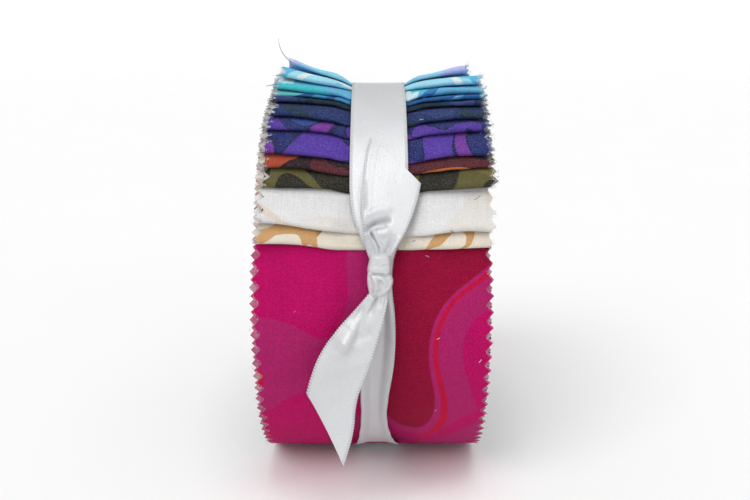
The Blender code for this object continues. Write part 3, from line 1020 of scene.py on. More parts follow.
    # Share of what shows of a strip at whose end it has sunk, and how much sooner the corners of
    # its under layer come down
    SUNK_AT = 0.94
    UNDER_SOONER = 1.6

    def fold_line(self, winding: Winding, number: int, x: Array) -> Array:
        """Winding angle of a fold across the strips: a straight line that dips at the ribbon by a
        bell curve of the distance from it, and wavers by two sines.

        Args:
            winding: The roll.
            number: Of the fold, counted on into the next turn.
            x: Places on X.

        Returns:
            Winding angles.
        """
        index = number % winding.count
        left, middle, right = winding.folds[index]
        span = x / self.width + 0.5
        reach = np.maximum(np.abs(x - winding.ribbon_middle) - winding.waist_half, 0.0)
        dip = ((left + right) / 2 - middle) * np.exp(-2 * (reach / self.DIP_REACH) ** 2)
        waver = waves(self.LINE_WAVES, x, index)
        waver = waver * (1 - self.HELD_STRAIGHT * winding.around_ribbon(x))
        angle = left + (right - left) * span - dip + waver
        return winding.core_polar(angle) - winding.tail + 360.0 * (number // winding.count)

    def build(self, winding: Winding, finishes: dict) -> bpy.types.Object:
        """Makes the strip: one sheet from its inner end up to the fold and back under itself.

        The sheet is a grid over the distance from the fold and the place across the strip. Its
        columns are close near the fold, fewer in the last turn, and two in the core.

        Args:
            winding: The roll.
            finishes: Materials by material slot and by plain face.

        Returns:
            The piece.
        """
        rng = np.random.default_rng(500 + self.place)
        fine = np.union1d(self.PLAIN_COLUMNS, self.FINE_EXTRA)
        plain = np.array(self.PLAIN_COLUMNS)
        edges = np.array(self.EDGE_COLUMNS)
        run, grid = winding.run[self.place], winding.grid
        cover = self.place + 1
        covered = float(np.max(self.fold_line(winding, cover, np.linspace(-30, 30, 13))))
        shown = float(np.interp(covered, grid, run)) + self.COVER_LAP
        deep = self.place + self.TURN_OF_FOLDS
        hidden = winding.fold_at[deep % winding.count] + 360.0 * (deep // winding.count)
        hidden_at = float(np.interp(hidden, grid, run))
        wide_step = 2 * self.fine_step
        near = np.arange(1, 2 * math.ceil(shown / wide_step) + 1) * self.fine_step
        if self.place == winding.count - 1:
            wide = np.arange(self.WIDE_FROM, shown, wide_step)
            near = np.concatenate([near[near <= self.DENSE_TO], wide])
        outer_far = self.stations(winding, float(near[-1]))
        inner_near = np.arange(1, 5) * self.fine_step
        inner_far = self.stations(winding, float(inner_near[-1]))
        turns = np.radians(np.array(self.NOSE_TURNS))
        jitter = rng.uniform(*self.UNEVEN_TEETH, self.TEETH)
        blocks = [
            self.block(winding, edges, -inner_far[inner_far > hidden_at][::-1], jitter),
            self.block(winding, plain, -inner_far[inner_far <= hidden_at][::-1], jitter),
            self.block(winding, fine, -inner_near[::-1], jitter),
            self.nose(winding, fine, turns, jitter),
            self.block(winding, fine, near, jitter),
            self.block(winding, plain, outer_far[outer_far <= hidden_at], jitter),
            self.block(winding, edges, outer_far[outer_far > hidden_at], jitter),
        ]
        rims = [b[0][:, [0, -1]].reshape(-1, 3) for b in blocks[2:6] if b is not None]
        weights = (self.SEEN_EDGE, self.SEEN_FOLD, self.SEEN_FOLD, self.SEEN_EDGE)
        seen = np.concatenate([np.full(len(r), weight) for r, weight in zip(rims, weights)])
        seen = seen * (1.0 if self.nodes != ("roll",) else self.SEEN_HIDDEN)
        tint = PRINTS[self.slot].base
        self.frayed_edge = (np.concatenate(rims), np.tile(np.array(tint), (len(seen), 1)), seen)
        mesh = self.joined([b for b in blocks if b is not None])
        tinted(mesh, tint, self.soaked)
        faces = (self.slot, PlainFace.REVERSE, PlainFace.CUT_EDGE)
        return thickened(mesh, [finishes[face] for face in faces], self.cloth)

    def stations(self, winding: Winding, start: float) -> Array:
        """Distances past the fold of the plain rows: half a tooth apart, closer round the core.

        Args:
            winding: The roll.
            start: Where they may start.

        Returns:
            The distances.
        """
        d = np.arange(start, winding.half_length, self.COUNT_STEP)
        angle = np.interp(d, winding.run[self.place], winding.grid)
        radius = np.interp(angle, winding.grid, winding.outer[self.place])
        core, share, least = self.CORE_STEP
        step = np.where(radius > core, self.tooth_pitch / 2, np.maximum(share * radius, least))
        count = np.concatenate([[0.0], np.cumsum(self.COUNT_STEP / step[:-1])])
        whole = np.arange(1, math.floor(count[-1]) + 1)
        return np.interp(whole, count, d)

    def swell(self, winding: Winding, x: Array) -> Array:
        """Height of the rounded fold across the strip: fuller at the ends, flat at the ribbon.

        Args:
            winding: The roll.
            x: Places on X.

        Returns:
            Heights at these places.
        """
        least, gain, power = self.FULLNESS
        full = least + gain * (np.abs(x) / self.HALF_SPAN) ** power
        full = full + waves(self.HEIGHT_WAVES, x, self.place)
        share, more = self.MOST_SWELL
        limit = np.minimum(self.puff, share * self.exposed(winding, x) + more)
        return limit * full * (1 - self.PRESSED * winding.around_ribbon(x))

    def exposed(self, winding: Winding, x: Array) -> Array:
        """Width of the strip that shows between its fold and the next one.

        Args:
            winding: The roll.
            x: Places on X.

        Returns:
            Widths at these places.
        """
        here = self.fold_line(winding, self.place, x)
        cover = self.fold_line(winding, self.place + 1, x)
        return np.radians(cover - here) * self.FOLD_RADIUS

    def open_gap(self, winding: Winding, x: Array) -> Array:
        """The gap under the fold, mostly closed at the ribbon."""
        return self.gap * (1 - 0.7 * winding.around_ribbon(x))

    def nose_sizes(self, winding: Winding, x: Array) -> tuple[Array, Array, Array]:
        """The rounded fold's depth along the cloth, half its height, and its middle's height.

        Args:
            winding: The roll.
            x: Places on X.

        Returns:
            All three at these places.
        """
        top = winding.pitch / 4 + self.swell(winding, x)
        low = -winding.pitch / 4 + self.open_gap(winding, x)
        half = (top - low) / 2
        least, share = self.NOSE_DEPTH
        return least + share * half, half, (top + low) / 2

    def inset(self, tau: Array, jitter: Array) -> Array:
        """Depth of the teeth: a triangle wave of the distance along the cloth, a little uneven.

        Args:
            tau: Distances along the cloth.
            jitter: Uneven depths of the teeth.

        Returns:
            The depths.
        """
        tooth = tau / self.tooth_pitch
        wave = 2 * np.abs(tooth - np.floor(tooth) - 0.5)
        return self.tooth_depth * wave * jitter[np.floor(np.abs(tooth) + 0.25).astype(int) % self.TEETH]

    def across(self, columns: Array, tau: Array, past: Array, jitter: Array) -> Array:
        """Places on X of every point of a block.

        The outer columns are pinked, their right teeth worn by a bell curve of the distance from
        the fold, and they are drawn in where the next turn covers them. Both layers drift along
        their winding by a slow sine, and the shift passes from one to the other along an S round
        the fold. The corners of the upper layer are drawn in by an S of their reach and a bell
        curve of the distance from the fold.

        Args:
            columns: Places across the strip, CUT standing for a cut edge.
            tau: Distance along the cloth of each row.
            past: Distance of each row from the fold, negative on the under layer.
            jitter: Unevenness of the teeth.

        Returns:
            Rows by columns of places.
        """
        tau, past = tau[:, None], past[:, None]
        turned = smooth((past + self.NOSE_REACH) / (2 * self.NOSE_REACH))
        settle_from, settle_over = self.SETTLING
        kept = 1 - (1 - self.settled) * smooth((np.abs(past) - settle_from) / settle_over)
        shift = (self.under_shift + (self.shift - self.under_shift) * turned) * kept
        wave = np.sin(tau / self.DRIFT_LENGTH + 1.7 * self.place)
        drift = shift + self.DRIFT * wave * smooth(np.abs(tau) / settle_over)
        worn = 1 - (1 - self.right_teeth) * bell(past, self.WORN_REACH) * (columns > 0)
        buried_from, buried_over = self.BURIED
        buried = self.BURIED_INSET * smooth((np.abs(past) - buried_from) / buried_over)
        edge = self.width / 2 - self.inset(tau, jitter) * worn - buried
        x = np.where(self.is_cut(columns), np.sign(columns) * edge + drift, columns + 0.0 * tau)
        left, right = self.by_side(x, self.tuck, *self.TUCK_SPAN)
        upper_reach, under_more = self.TUCK_REACH
        return x + (left - right) * bell(past, upper_reach + under_more * (1 - turned))

    def is_cut(self, columns: Array) -> Array:
        """Whether each column stands for a cut edge."""
        return np.abs(columns) == self.CUT

    @staticmethod
    def by_side(x: Array, sizes: tuple[float, float], start: float, over: float) -> list[Array]:
        """The left and the right size, each growing along an S of the reach to its own side."""
        return [size * smooth((side * x - start) / over) for side, size in zip((-1, 1), sizes)]

    def corners(self, x: Array, past: Array) -> Array:
        """Lift of the fold's raised corners: an S of the reach, a bell curve of the distance."""
        left, right = self.by_side(x, self.tip, *self.TIP_SPAN)
        return (left + right) * bell(past, self.TIP_REACH)

    def nose(self, winding: Winding, columns: Array, turns: Array, jitter: Array) -> tuple:
        """The rounded fold itself: half an ellipse from the under layer round to the upper one.

        Args:
            winding: The roll.
            columns: Places across the strip.
            turns: Angles round the fold, in radians.
            jitter: Uneven depths of the teeth.

        Returns:
            Points, cloth coordinates and columns.
        """
        tau = np.interp(turns, [turns[0], turns[-1]], [-self.NOSE_UNDER, self.NOSE_UPPER])
        x = self.across(columns, tau, np.sin(turns) * self.NOSE_REACH, jitter)
        depth, half, middle = self.nose_sizes(winding, x)
        d = depth * (1 - np.cos(turns))[:, None]
        lift = middle + half * np.sin(turns)[:, None] + self.corners(x, 0.0)
        return self.placed(winding, columns, x, tau, d, lift)

    def block(self, winding: Winding, columns: Array, rows: Array, jitter: Array) -> tuple | None:
        """Rows of one layer of the strip.

        The upper layer (positive rows) sinks from the rounded fold to its place under the next
        strip along an S. The under layer (negative rows) sinks from its small gap along a bell
        curve.

        Args:
            winding: The roll.
            columns: Places across the strip.
            rows: Distances past the rounded fold.
            jitter: Unevenness of the teeth.

        Returns:
            Points, cloth coordinates and columns, or None where there are no rows.
        """
        if not len(rows):
            return None
        upper = rows[0] > 0
        tau = rows + (self.NOSE_UPPER if upper else -self.NOSE_UNDER)
        reach = self.NOSE_REACH if upper else -self.NOSE_REACH
        x = self.across(columns, tau, rows + reach, jitter)
        depth, _, _ = self.nose_sizes(winding, x)
        past = np.abs(rows)[:, None]
        if upper:
            room = self.SUNK_AT * self.exposed(winding, x) - depth
            room = np.minimum(room, self.LONGEST_FALL)
            fall = 1 - smooth(past / np.maximum(room, 1.0))
            lift = winding.pitch / 4 + self.swell(winding, x) * fall + self.corners(x, past)
            if self.place == winding.count - 1:
                lift = lift + self.ripples(winding, x, past)
        else:
            gap = self.open_gap(winding, x) * bell(past, self.GAP_REACH)
            lift = -winding.pitch / 4 + gap
            lift = lift + self.corners(x, past * self.UNDER_SOONER)
        return self.placed(winding, columns, x, tau, depth + past, lift)

    @staticmethod
    def ripples(winding: Winding, x: Array, past: Array) -> Array:
        """Faint swells of the outer face, higher beside the ribbon: sums of sines.

        Args:
            winding: The roll.
            x: Places on X.
            past: Distances past the rounded fold.

        Returns:
            Heights.
        """
        near = bell(np.abs(x - winding.ribbon_middle) - 11.0, 6.0)
        slow = 0.07 * np.sin(past / 13.0 + x / 11.0) + 0.06 * np.sin(past / 7.7 - x / 5.9 + 1.0)
        phase = past / 4.6 + np.sign(x) * 0.6 + 0.8 * np.sin(past / 17.0)
        drawn = 0.17 * near * (1 + np.sin(phase))
        return (slow + drawn) * smooth(past / 10.0)

    def placed(
        self, winding: Winding, columns: Array, x: Array, tau: Array, d: Array, lift: Array
    ) -> tuple:
        """Winds a block: distance past the fold becomes winding angle by the strip's own length.

        Args:
            winding: The roll.
            columns: Places across the strip.
            x: Places on X of every point.
            tau: Distance along the cloth of each row.
            d: Distance past the fold of each row.
            lift: Local height off the spiral.

        Returns:
            Points, cloth coordinates and columns.
        """
        start = winding.fold_at[self.place]
        line = self.fold_line(winding, self.place, x) - start
        turn = np.interp(d, winding.run[self.place], winding.grid)
        turn = turn + line * bell(d, self.LINE_REACH)
        radius = np.interp(turn, winding.grid, winding.outer[self.place]) - winding.pitch / 2
        inner_from, inner_over = self.INNER
        inner = smooth((d - inner_from) / inner_over)
        radius = radius + lift * inner
        points = winding.place(turn, radius, lift * (1 - inner), x)
        edge = np.maximum(self.width / 2 - np.abs(x), 0.0)
        edge = np.where(self.is_cut(columns), 0.0, edge)
        along = np.broadcast_to(tau[:, None] + self.PRINT_OFFSET * self.place, x.shape)
        return points, np.stack([x, along, edge], axis=-1), columns

    def joined(self, blocks: list) -> bpy.types.Mesh:
        """One mesh of the blocks, each cell between two of them a face with all their points.

        Args:
            blocks: Points, cloth coordinates and columns of each.

        Returns:
            The mesh.
        """
        faces = []
        start = 0
        for number, (points, _, columns) in enumerate(blocks):
            faces += (grid_faces(len(points), len(columns)) + start).tolist()
            if number + 1 < len(blocks):
                base = start + (len(points) - 1) * len(columns)
                after = start + len(points) * len(columns)
                faces += self.seam(columns, base, blocks[number + 1][2], after)
            start += len(points) * len(columns)
        points = np.concatenate([b[0].reshape(-1, 3) for b in blocks])
        mesh = mesh_of(self.name, points, faces)
        put(mesh, "cloth", np.concatenate([b[1].reshape(-1, 3) for b in blocks]))
        return mesh

    @staticmethod
    def seam(before: Array, base: int, after: Array, start: int) -> list:
        """Faces between two rows whose columns differ, one for each cell of the coarser row.

        Args:
            before, after: Columns of the two rows.
            base, start: Numbers of their first points.

        Returns:
            The faces.
        """
        shared = np.intersect1d(before, after)
        first, second = np.searchsorted(before, shared), np.searchsorted(after, shared)
        faces = []
        for k in range(len(shared) - 1):
            low = [base + i for i in range(first[k], first[k + 1] + 1)]
            high = [start + i for i in range(second[k], second[k + 1] + 1)]
            faces.append(low + high[::-1])
        return faces


# The ribbon


@dataclass
class RibbonPiece:
    """A length of satin ribbon.

    Attributes:
        name: The piece's name.
        columns: Between its beaded edges.
        thickness: Of the ribbon.
        scallop: How far the beads of the edge stand out.
        width: Of the flat ribbon.
        bead: From one bead of the edge to the next.
    """

    name: str
    columns: int = 19
    thickness: float = 0.24
    scallop: float = 0.13
    width: float = 15.5
    bead: float = BEAD

    # Share of the half width at which the columns of the beaded edge stand
    RIM = (0.91, 0.955, 1.0)

    def shares(self) -> Array:
        """Places across the ribbon, -1 to 1, closer at the beaded edges.

        Returns:
            The places.
        """
        first, middle, last = self.RIM
        inner = np.linspace(-first, first, self.columns)
        return np.concatenate([[-last, -middle], inner, [middle, last]])

    def build(self, points: Array, finish: bpy.types.Material, closed: bool) -> bpy.types.Object:
        """Makes the ribbon of a grid of points, with its beads as scallops of the outer columns.

        Args:
            points: Rows along the ribbon and columns at shares() across it.
            finish: Its material.
            closed: Whether the last row joins the first.

        Returns:
            The piece.
        """
        rows, columns = points.shape[:2]
        step = np.linalg.norm(np.diff(points, axis=0), axis=-1)
        along = np.concatenate([np.zeros((1, columns)), np.cumsum(step, axis=0)])
        waves = self.scallop * np.cos(along[:, [0, -1]] * (2 * math.pi / self.bead))
        outward = points[:, [0, -1]] - points[:, [1, -2]]
        outward = outward / np.maximum(np.linalg.norm(outward, axis=-1, keepdims=True), 1e-6)
        points = points.copy()
        points[:, [0, -1]] += outward * waves[..., None]
        across = self.shares() * self.width / 2
        place = np.zeros_like(points)
        place[..., 0] = across
        place[..., 1] = along
        place[..., 2] = self.width / 2 - np.abs(across)
        faces = grid_faces(rows, columns, loop=closed).tolist()
        mesh = mesh_of(self.name, points.reshape(-1, 3), faces)
        put(mesh, "ribbon", place.reshape(-1, 3))
        return thickened(mesh, [finish], self.thickness)


@dataclass
class Ribbon:
    """The satin ribbon: round the roll's waist, knotted in front, with two free ends.

    Attributes:
        winding: The roll.
        band_radius: Of the band's middle surface.
        lowest: Height of the band over the floor.
        knot_angle: Angle round the axis at which the band starts and ends.
        row_step: From one row of the band to the next.
        end_columns, up_rows, down_rows: Of the two free ends' grids.
        knot_reach: From the axis to the knot's middle.
        knot_square: How square the knot's rings are, 1 for an ellipse.
        knot_grid: Rings of the knot, and points round each.
    """

    winding: Winding
    band_radius: float = 56.45
    lowest: float = 0.60
    knot_angle: float = 11.0
    row_step: float = 0.40
    end_columns: int = 57
    up_rows: int = 170
    down_rows: int = 230
    knot_reach: float = 59.6
    knot_square: float = 0.80
    knot_grid: tuple[int, int] = (84, 72)
    # Angle round the axis, middle, half width, how far the edges curl out, and depth of the pleats
    band_rows: tuple = (
        (11.0, 2.3, 2.3, 0.0, 0.55),
        (16.0, 2.2, 2.9, 0.0, 0.60),
        (19.0, 1.9, 4.2, 0.0, 0.50),
        (23.0, 1.6, 5.6, 0.0, 0.35),
        (28.0, 1.4, 7.0, 0.0, 0.18),
        (35.0, 1.3, 7.75, 0.0, 0.04),
        (60.0, 1.3, 7.75, 0.0, 0.0),
        (150.0, 1.3, 7.75, 0.0, 0.0),
        (260.0, 1.3, 7.75, 0.0, 0.0),
        (285.0, 1.2, 7.5, 0.2, 0.0),
        (303.0, 0.9, 6.1, 1.0, 0.0),
        (318.0, 0.3, 4.4, 2.2, 0.0),
        (329.0, 0.0, 3.5, 2.8, 0.0),
        (338.0, 0.2, 3.8, 2.9, 0.0),
        (347.0, 0.8, 4.35, 2.8, 0.0),
        (355.0, 1.4, 4.2, 2.3, 0.05),
        (362.0, 1.9, 3.5, 1.2, 0.3),
        (367.0, 2.2, 2.6, 0.1, 0.5),
        (371.0, 2.3, 2.3, 0.0, 0.55),
    )
    # The folds of the upper end, by place on X and angle round the axis
    up_creases: tuple = (
        Crease(
            ((-1.9, 22.9), (-1.4, 24.2), (0.3, 25.3), (2.0, 25.8), (3.4, 26.1)),
            (-0.9, -1.9, -1.6),
            (0.5, 0.80),
        ),
        Crease(((-1.3, 22.6), (-0.6, 23.3), (0.8, 24.0), (2.6, 24.3)), (0.7, 1.1, 0.6), (0.4, 0.6)),
        Crease(((-3.0, 25.0), (-1.8, 27.2), (0.6, 28.6), (3.4, 29.0)), (0.3, 0.6, 0.4), (0.9, 1.2)),
        Crease(((1.5, 22.4), (3.2, 22.6)), (0.5, 0.6), (1.0, 1.0)),
        Crease(((-1.8, 22.6), (-0.1, 20.7), (0.6, 19.2), (1.0, 16.0)), (0.6, 1.0, 0.8), (0.34, 0.36)),
        Crease(((-0.9, 22.9), (0.4, 20.3), (1.3, 18.4)), (-0.9, -0.7, -0.3), (0.32, 0.36)),
        Crease(((0.2, 22.6), (1.0, 20.7), (1.95, 18.7), (2.3, 16.4)), (0.7, 0.6, 0.5), (0.5, 0.5)),
        Crease(((-1.5, 20.9), (-0.6, 18.0), (-0.2, 16.4)), (-0.4, -0.8, -0.6), (0.8, 0.6)),
        Crease(((4.9, 21.3), (3.9, 19.0), (3.0, 16.8)), (-0.3, -0.9, -0.7), (0.9, 0.7)),
        Crease(((6.6, 21.2), (4.9, 18.6), (3.6, 16.6)), (0.3, 0.5, 0.3), (0.6, 0.4)),
        Crease(((-2.8, 36.5), (-2.9, 30.0), (-2.7, 26.0)), (0.5, 0.6, 0.2), (0.9, 0.9)),
    )
    # The folds of the hanging end, by place on X and height
    down_creases: tuple = (
        Crease(((-5.6, 54.4), (-7.4, 51.6), (-8.6, 48.6)), (1.5, 3.1, 1.1), (2.0, 2.8, 2.4)),
        Crease(
            ((-2.8, 59.2), (-3.7, 55.0), (-4.6, 53.0), (-5.8, 50.2), (-6.9, 48.0)),
            (-0.6, -1.0, -0.5),
            (0.8, 1.4),
        ),
        Crease(((1.4, 60.3), (0.2, 57.6), (-1.6, 56.4)), (0.5, 0.4, 0.2), (0.8, 1.0)),
        Crease(((-0.6, 62.6), (-2.9, 58.0), (-4.6, 55.6)), (0.7, 0.5, 0.2), (0.6, 0.9)),
        Crease(((-2.9, 60.4), (-5.0, 57.4)), (-0.5, -0.3), (0.6, 0.6)),
        Crease(((0.6, 62.6), (-0.8, 59.4)), (-0.8, -0.4), (0.4, 0.6)),
        Crease(((2.2, 62.4), (2.0, 59.8)), (0.6, 0.2), (0.4, 0.5)),
        Crease(((-1.4, 53.6), (-3.4, 52.4)), (-0.6, -0.4), (1.4, 1.4)),
        Crease(((-2.2, 47.0), (-9.0, 43.5)), (0.35, 0.2), (1.6, 1.8)),
    )
    # The folds of the knot, by place on X and height
    knot_creases: tuple = (
        Crease(
            ((-2.4, 70.4), (-0.4, 69.5), (1.0, 69.5), (3.2, 68.9), (5.2, 69.2)),
            (-0.8, -0.7, -0.8),
            (0.34, 0.34),
        ),
        Crease(((-0.4, 69.0), (0.5, 67.7), (0.6, 65.7), (0.1, 64.2)), (0.6, 1.0, 0.6), (0.42, 0.40)),
        Crease(((0.95, 69.1), (2.3, 68.1), (3.3, 67.0)), (0.5, 0.8, 0.5), (0.42, 0.50)),
        Crease(((1.5, 67.6), (1.3, 65.0)), (-0.8, -0.6), (0.6, 0.6)),
        Crease(((-1.2, 69.0), (-0.8, 65.0)), (-0.5, -0.4), (0.45, 0.45)),
        Crease(((4.5, 67.6), (3.9, 65.7), (2.4, 64.6)), (0.3, 0.5, 0.4), (0.40, 0.36)),
        Crease(((-2.0, 71.9), (2.0, 71.5), (5.0, 71.8)), (-0.1, -0.22, -0.1), (0.40, 0.40)),
    )
    # Angle round the axis of each edge, its place on X, and its height over the band
    tail_up_rows: tuple = (
        (13.0, 13.0, 0.6, 3.4, 1.6, 1.7),
        (16.0, 16.2, -1.2, 4.1, 2.0, 1.9),
        (19.6, 19.4, -2.3, 6.1, 1.7, 1.9),
        (24.0, 22.6, -2.9, 8.0, 2.0, 2.1),
        (29.5, 26.2, -3.1, 9.6, 1.5, 1.8),
        (35.5, 29.8, -3.1, 10.8, 0.9, 1.4),
        (41.0, 33.0, -2.7, 11.7, 0.8, 1.1),
        (46.5, 35.6, -2.1, 12.2, 0.8, 1.0),
        (51.3, 36.4, -1.0, 12.35, 0.8, 0.9),
    )
    # Place on X of each edge, its height, and its reach in front of the axis
    tail_down_rows: tuple = (
        (0.2, 3.8, 66.2, 66.0, 60.1, 60.3),
        (-2.0, 3.5, 63.2, 62.4, 60.6, 61.3),
        (-5.6, 2.2, 59.0, 56.9, 60.9, 62.8),
        (-9.1, 0.9, 55.0, 52.0, 61.0, 63.4),
        (-12.3, -0.7, 50.6, 46.8, 61.0, 63.6),
        (-14.9, -2.3, 45.9, 42.0, 61.2, 63.5),
        (-16.6, -4.0, 41.2, 37.4, 61.6, 63.3),
        (-17.3, -4.9, 38.7, 32.8, 62.0, 63.2),
        (-17.55, -5.3, 37.7, 28.2, 62.3, 63.2),
        (-17.6, -6.2, 37.3, 23.4, 62.4, 63.2),
        (-17.5, -8.1, 37.0, 16.7, 62.5, 63.3),
    )
    # Height, left, right, and depth of each ring of the knot
    knot_rows: tuple = (
        (74.3, 0.4, 3.3, 2.2),
        (73.9, -0.6, 3.7, 3.8),
        (72.6, -1.0, 3.9, 4.3),
        (71.0, -1.35, 4.0, 4.7),
        (69.7, -1.6, 4.1, 4.6),
        (68.5, -1.75, 4.6, 5.2),
        (67.0, -1.75, 4.9, 5.8),
        (65.6, -1.6, 4.5, 5.4),
        (64.3, -1.3, 3.7, 4.4),
        (63.4, -0.8, 3.0, 3.2),
        (62.9, 0.2, 2.2, 1.4),
    )
    # Height of the furrow that parts the knot's wrap from its lower half, and how much fuller the
    # wrap is
    FURROW = 69.4
    WRAP_FULLER = 0.25
    # Share of the half width at which the band's edges start to curl, waves of its pleats, and
    # the angles where it lies slack
    CURL_FROM = 0.30
    PLEATS = 3.0
    SLACK_ANGLES = (30.0, 15.0, 255.0, 20.0)
    # The upper end's rise in its middle: how far, at which angle, and its spread. The hanging end's
    # hollow: how deep, under which height, and over what length
    UP_CROWN = (0.45, 38.0, 9.0)
    DOWN_SAG = (1.5, 47.0, 10.0)

    def round_axis(self, angle: Array, radius: Array, x: Array) -> Array:
        """The point at this angle and radius round the roll's axis, at this x.

        Args:
            angle: In degrees.
            radius: From the axis.
            x: Places on X.

        Returns:
            The points.
        """
        angle, radius, x = np.broadcast_arrays(np.radians(angle), radius, x)
        y = self.winding.axis_y - radius * np.cos(angle)
        z = self.winding.axis_z + radius * np.sin(angle)
        return np.stack([x, y, z], axis=-1)

    def band(self, finish: bpy.types.Material) -> bpy.types.Object:
        """The ribbon round the waist.

        The radius is the waist's, raised by the curl times an S of the share across, and waved by
        a cosine for the pleats that gather at the knot.

        Args:
            finish: The satin.

        Returns:
            The piece.
        """
        piece = RibbonPiece("satin_band")
        rows = round(2 * math.pi * self.band_radius / self.row_step / 2) * 2
        turn = np.linspace(self.knot_angle, self.knot_angle + 360.0, rows, endpoint=False)
        table = np.array(self.band_rows)
        known = np.interp(turn, table[:, 0], np.linspace(0, 1, len(table)))
        keys = through(table, known)
        v = piece.shares()
        middle, half, curl, pleat = (keys[:, c][:, None] for c in (1, 2, 3, 4))
        rise = curl * smooth((np.abs(v) - self.CURL_FROM) / (1 - self.CURL_FROM))
        folds = pleat * np.cos(self.PLEATS * math.pi * v + 0.5)
        flat = self.slack(turn[:, None], v)
        rise = rise + self.winding.crown(turn[:, None])
        radius = self.band_radius + rise + folds + flat
        points = self.round_axis(turn[:, None], radius, middle + half * v)
        points[..., 2] = np.maximum(points[..., 2], self.lowest)
        return piece.build(points, finish, True)

    def slack(self, turn: Array, v: Array) -> Array:
        """Small lifts of the ribbon off the cloth where it bridges the folds: slow sines."""
        away = window(turn, *self.SLACK_ANGLES)
        return away * (0.06 * np.sin(turn / 5.1) + 0.05 * np.sin(turn / 3.1 + 2.2 * v) + 0.05)

    def tail_up(self, finish: bpy.types.Material) -> bpy.types.Object:
        """The free end that lies up over the band, cut aslant, gathered into the knot.

        Args:
            finish: The satin.

        Returns:
            The piece.
        """
        piece = RibbonPiece("satin_tail_up", self.end_columns)
        v = piece.shares()
        angle, x, height = self.spanned(self.tail_up_rows, self.up_rows, v)
        height = height + self.folded(self.up_creases, x, angle)
        crown, crown_at, crown_spread = self.UP_CROWN
        height = height + crown * bell(angle - crown_at, crown_spread) * (1 - v**2)
        points = self.round_axis(angle, self.band_radius + height, x)
        return piece.build(points, finish, False)

    @staticmethod
    def spanned(table: tuple, rows: int, v: Array) -> list[Array]:
        """Grids of a free end: smooth along the table's rows, and straight across from each left
        column to the right one beside it.

        Args:
            table: Rows of each grid's left and right edge.
            rows: Of each grid.
            v: Places across the ribbon.

        Returns:
            The grids.
        """
        keys = through(np.array(table), np.linspace(0, 1, rows))
        pairs = ((keys[:, [c]], keys[:, [c + 1]]) for c in range(0, keys.shape[1], 2))
        return [left + (right - left) * (1 + v) / 2 for left, right in pairs]

    @staticmethod
    def folded(creases: tuple[Crease, ...], x: Array, up: Array) -> Array:
        """Sum of the creases' heights."""
        return sum(crease.relief(x, up) for crease in creases)

    def tail_down(self, finish: bpy.types.Material) -> bpy.types.Object:
        """The free end that hangs in front, turned to the left and cut aslant to a point.

        Args:
            finish: The satin.

        Returns:
            The piece.
        """
        piece = RibbonPiece("satin_tail_down", self.end_columns)
        v = piece.shares()
        x, z, out = self.spanned(self.tail_down_rows, self.down_rows, v)
        sag, sag_from, sag_over = self.DOWN_SAG
        hollow = sag * (1 - v**2) * smooth((sag_from - z) / sag_over)
        out = out + self.folded(self.down_creases, x, z) - hollow
        points = np.stack([x, self.winding.axis_y - out, z], axis=-1)
        return piece.build(points, finish, False)

    def knot(self, finish: bpy.types.Material) -> bpy.types.Object:
        """The knot: a closed surface of stacked rounded rings.

        Each ring is a superellipse of the key rows' half width and depth. A furrow parts the smooth
        wrap above, a little fuller, from the folded lower half. The creases' heights are added to
        the front, and a third of them to the sides.

        Args:
            finish: The satin.

        Returns:
            The piece.
        """
        count, around = self.knot_grid
        u = np.linspace(0, 1, count)
        z, left, right, deep = through(np.array(self.knot_rows), u).T[..., None]
        turn = np.linspace(0, 2 * math.pi, around, endpoint=False)
        cosine, sine = np.cos(turn), np.sin(turn)
        across, forward = (np.sign(s) * np.abs(s) ** self.knot_square for s in (cosine, sine))
        half, middle = (right - left) / 2, (right + left) / 2
        ends = window(u[:, None], 0.0, 0.08, 1.0, 0.10)
        at = middle + half * across
        raised = self.folded(self.knot_creases, at, z + 0 * at) * ends * smooth((sine + 0.35) / 0.6)
        wrap = self.WRAP_FULLER * smooth((z - self.FURROW) / 0.5)
        grown = 1 + ends * wrap / np.maximum(half, 1.0)
        x = middle + (half * grown + raised * 0.35) * across
        out = self.knot_reach + deep / 2 * forward * grown + raised * np.maximum(sine, 0.0)
        points = np.stack([x, self.winding.axis_y - out, np.broadcast_to(z, x.shape)], axis=-1)
        faces = grid_faces(count, around, ring=True)[:, ::-1].tolist()
        faces.append(list(range(around)))
        faces.append([(count - 1) * around + k for k in reversed(range(around))])
        mesh = mesh_of("satin_knot", points.reshape(-1, 3), faces)
        # Read by the satin as the middle of the ribbon, away from its beaded edges
        place = np.zeros_like(points)
        place[..., 0] = 3.0 * turn / math.pi
        place[..., 1] = z
        place[..., 2] = 4.0
        put(mesh, "ribbon", place.reshape(-1, 3))
        mesh.shade_smooth()
        return linked("satin_knot", mesh, finish)


# Loose threads


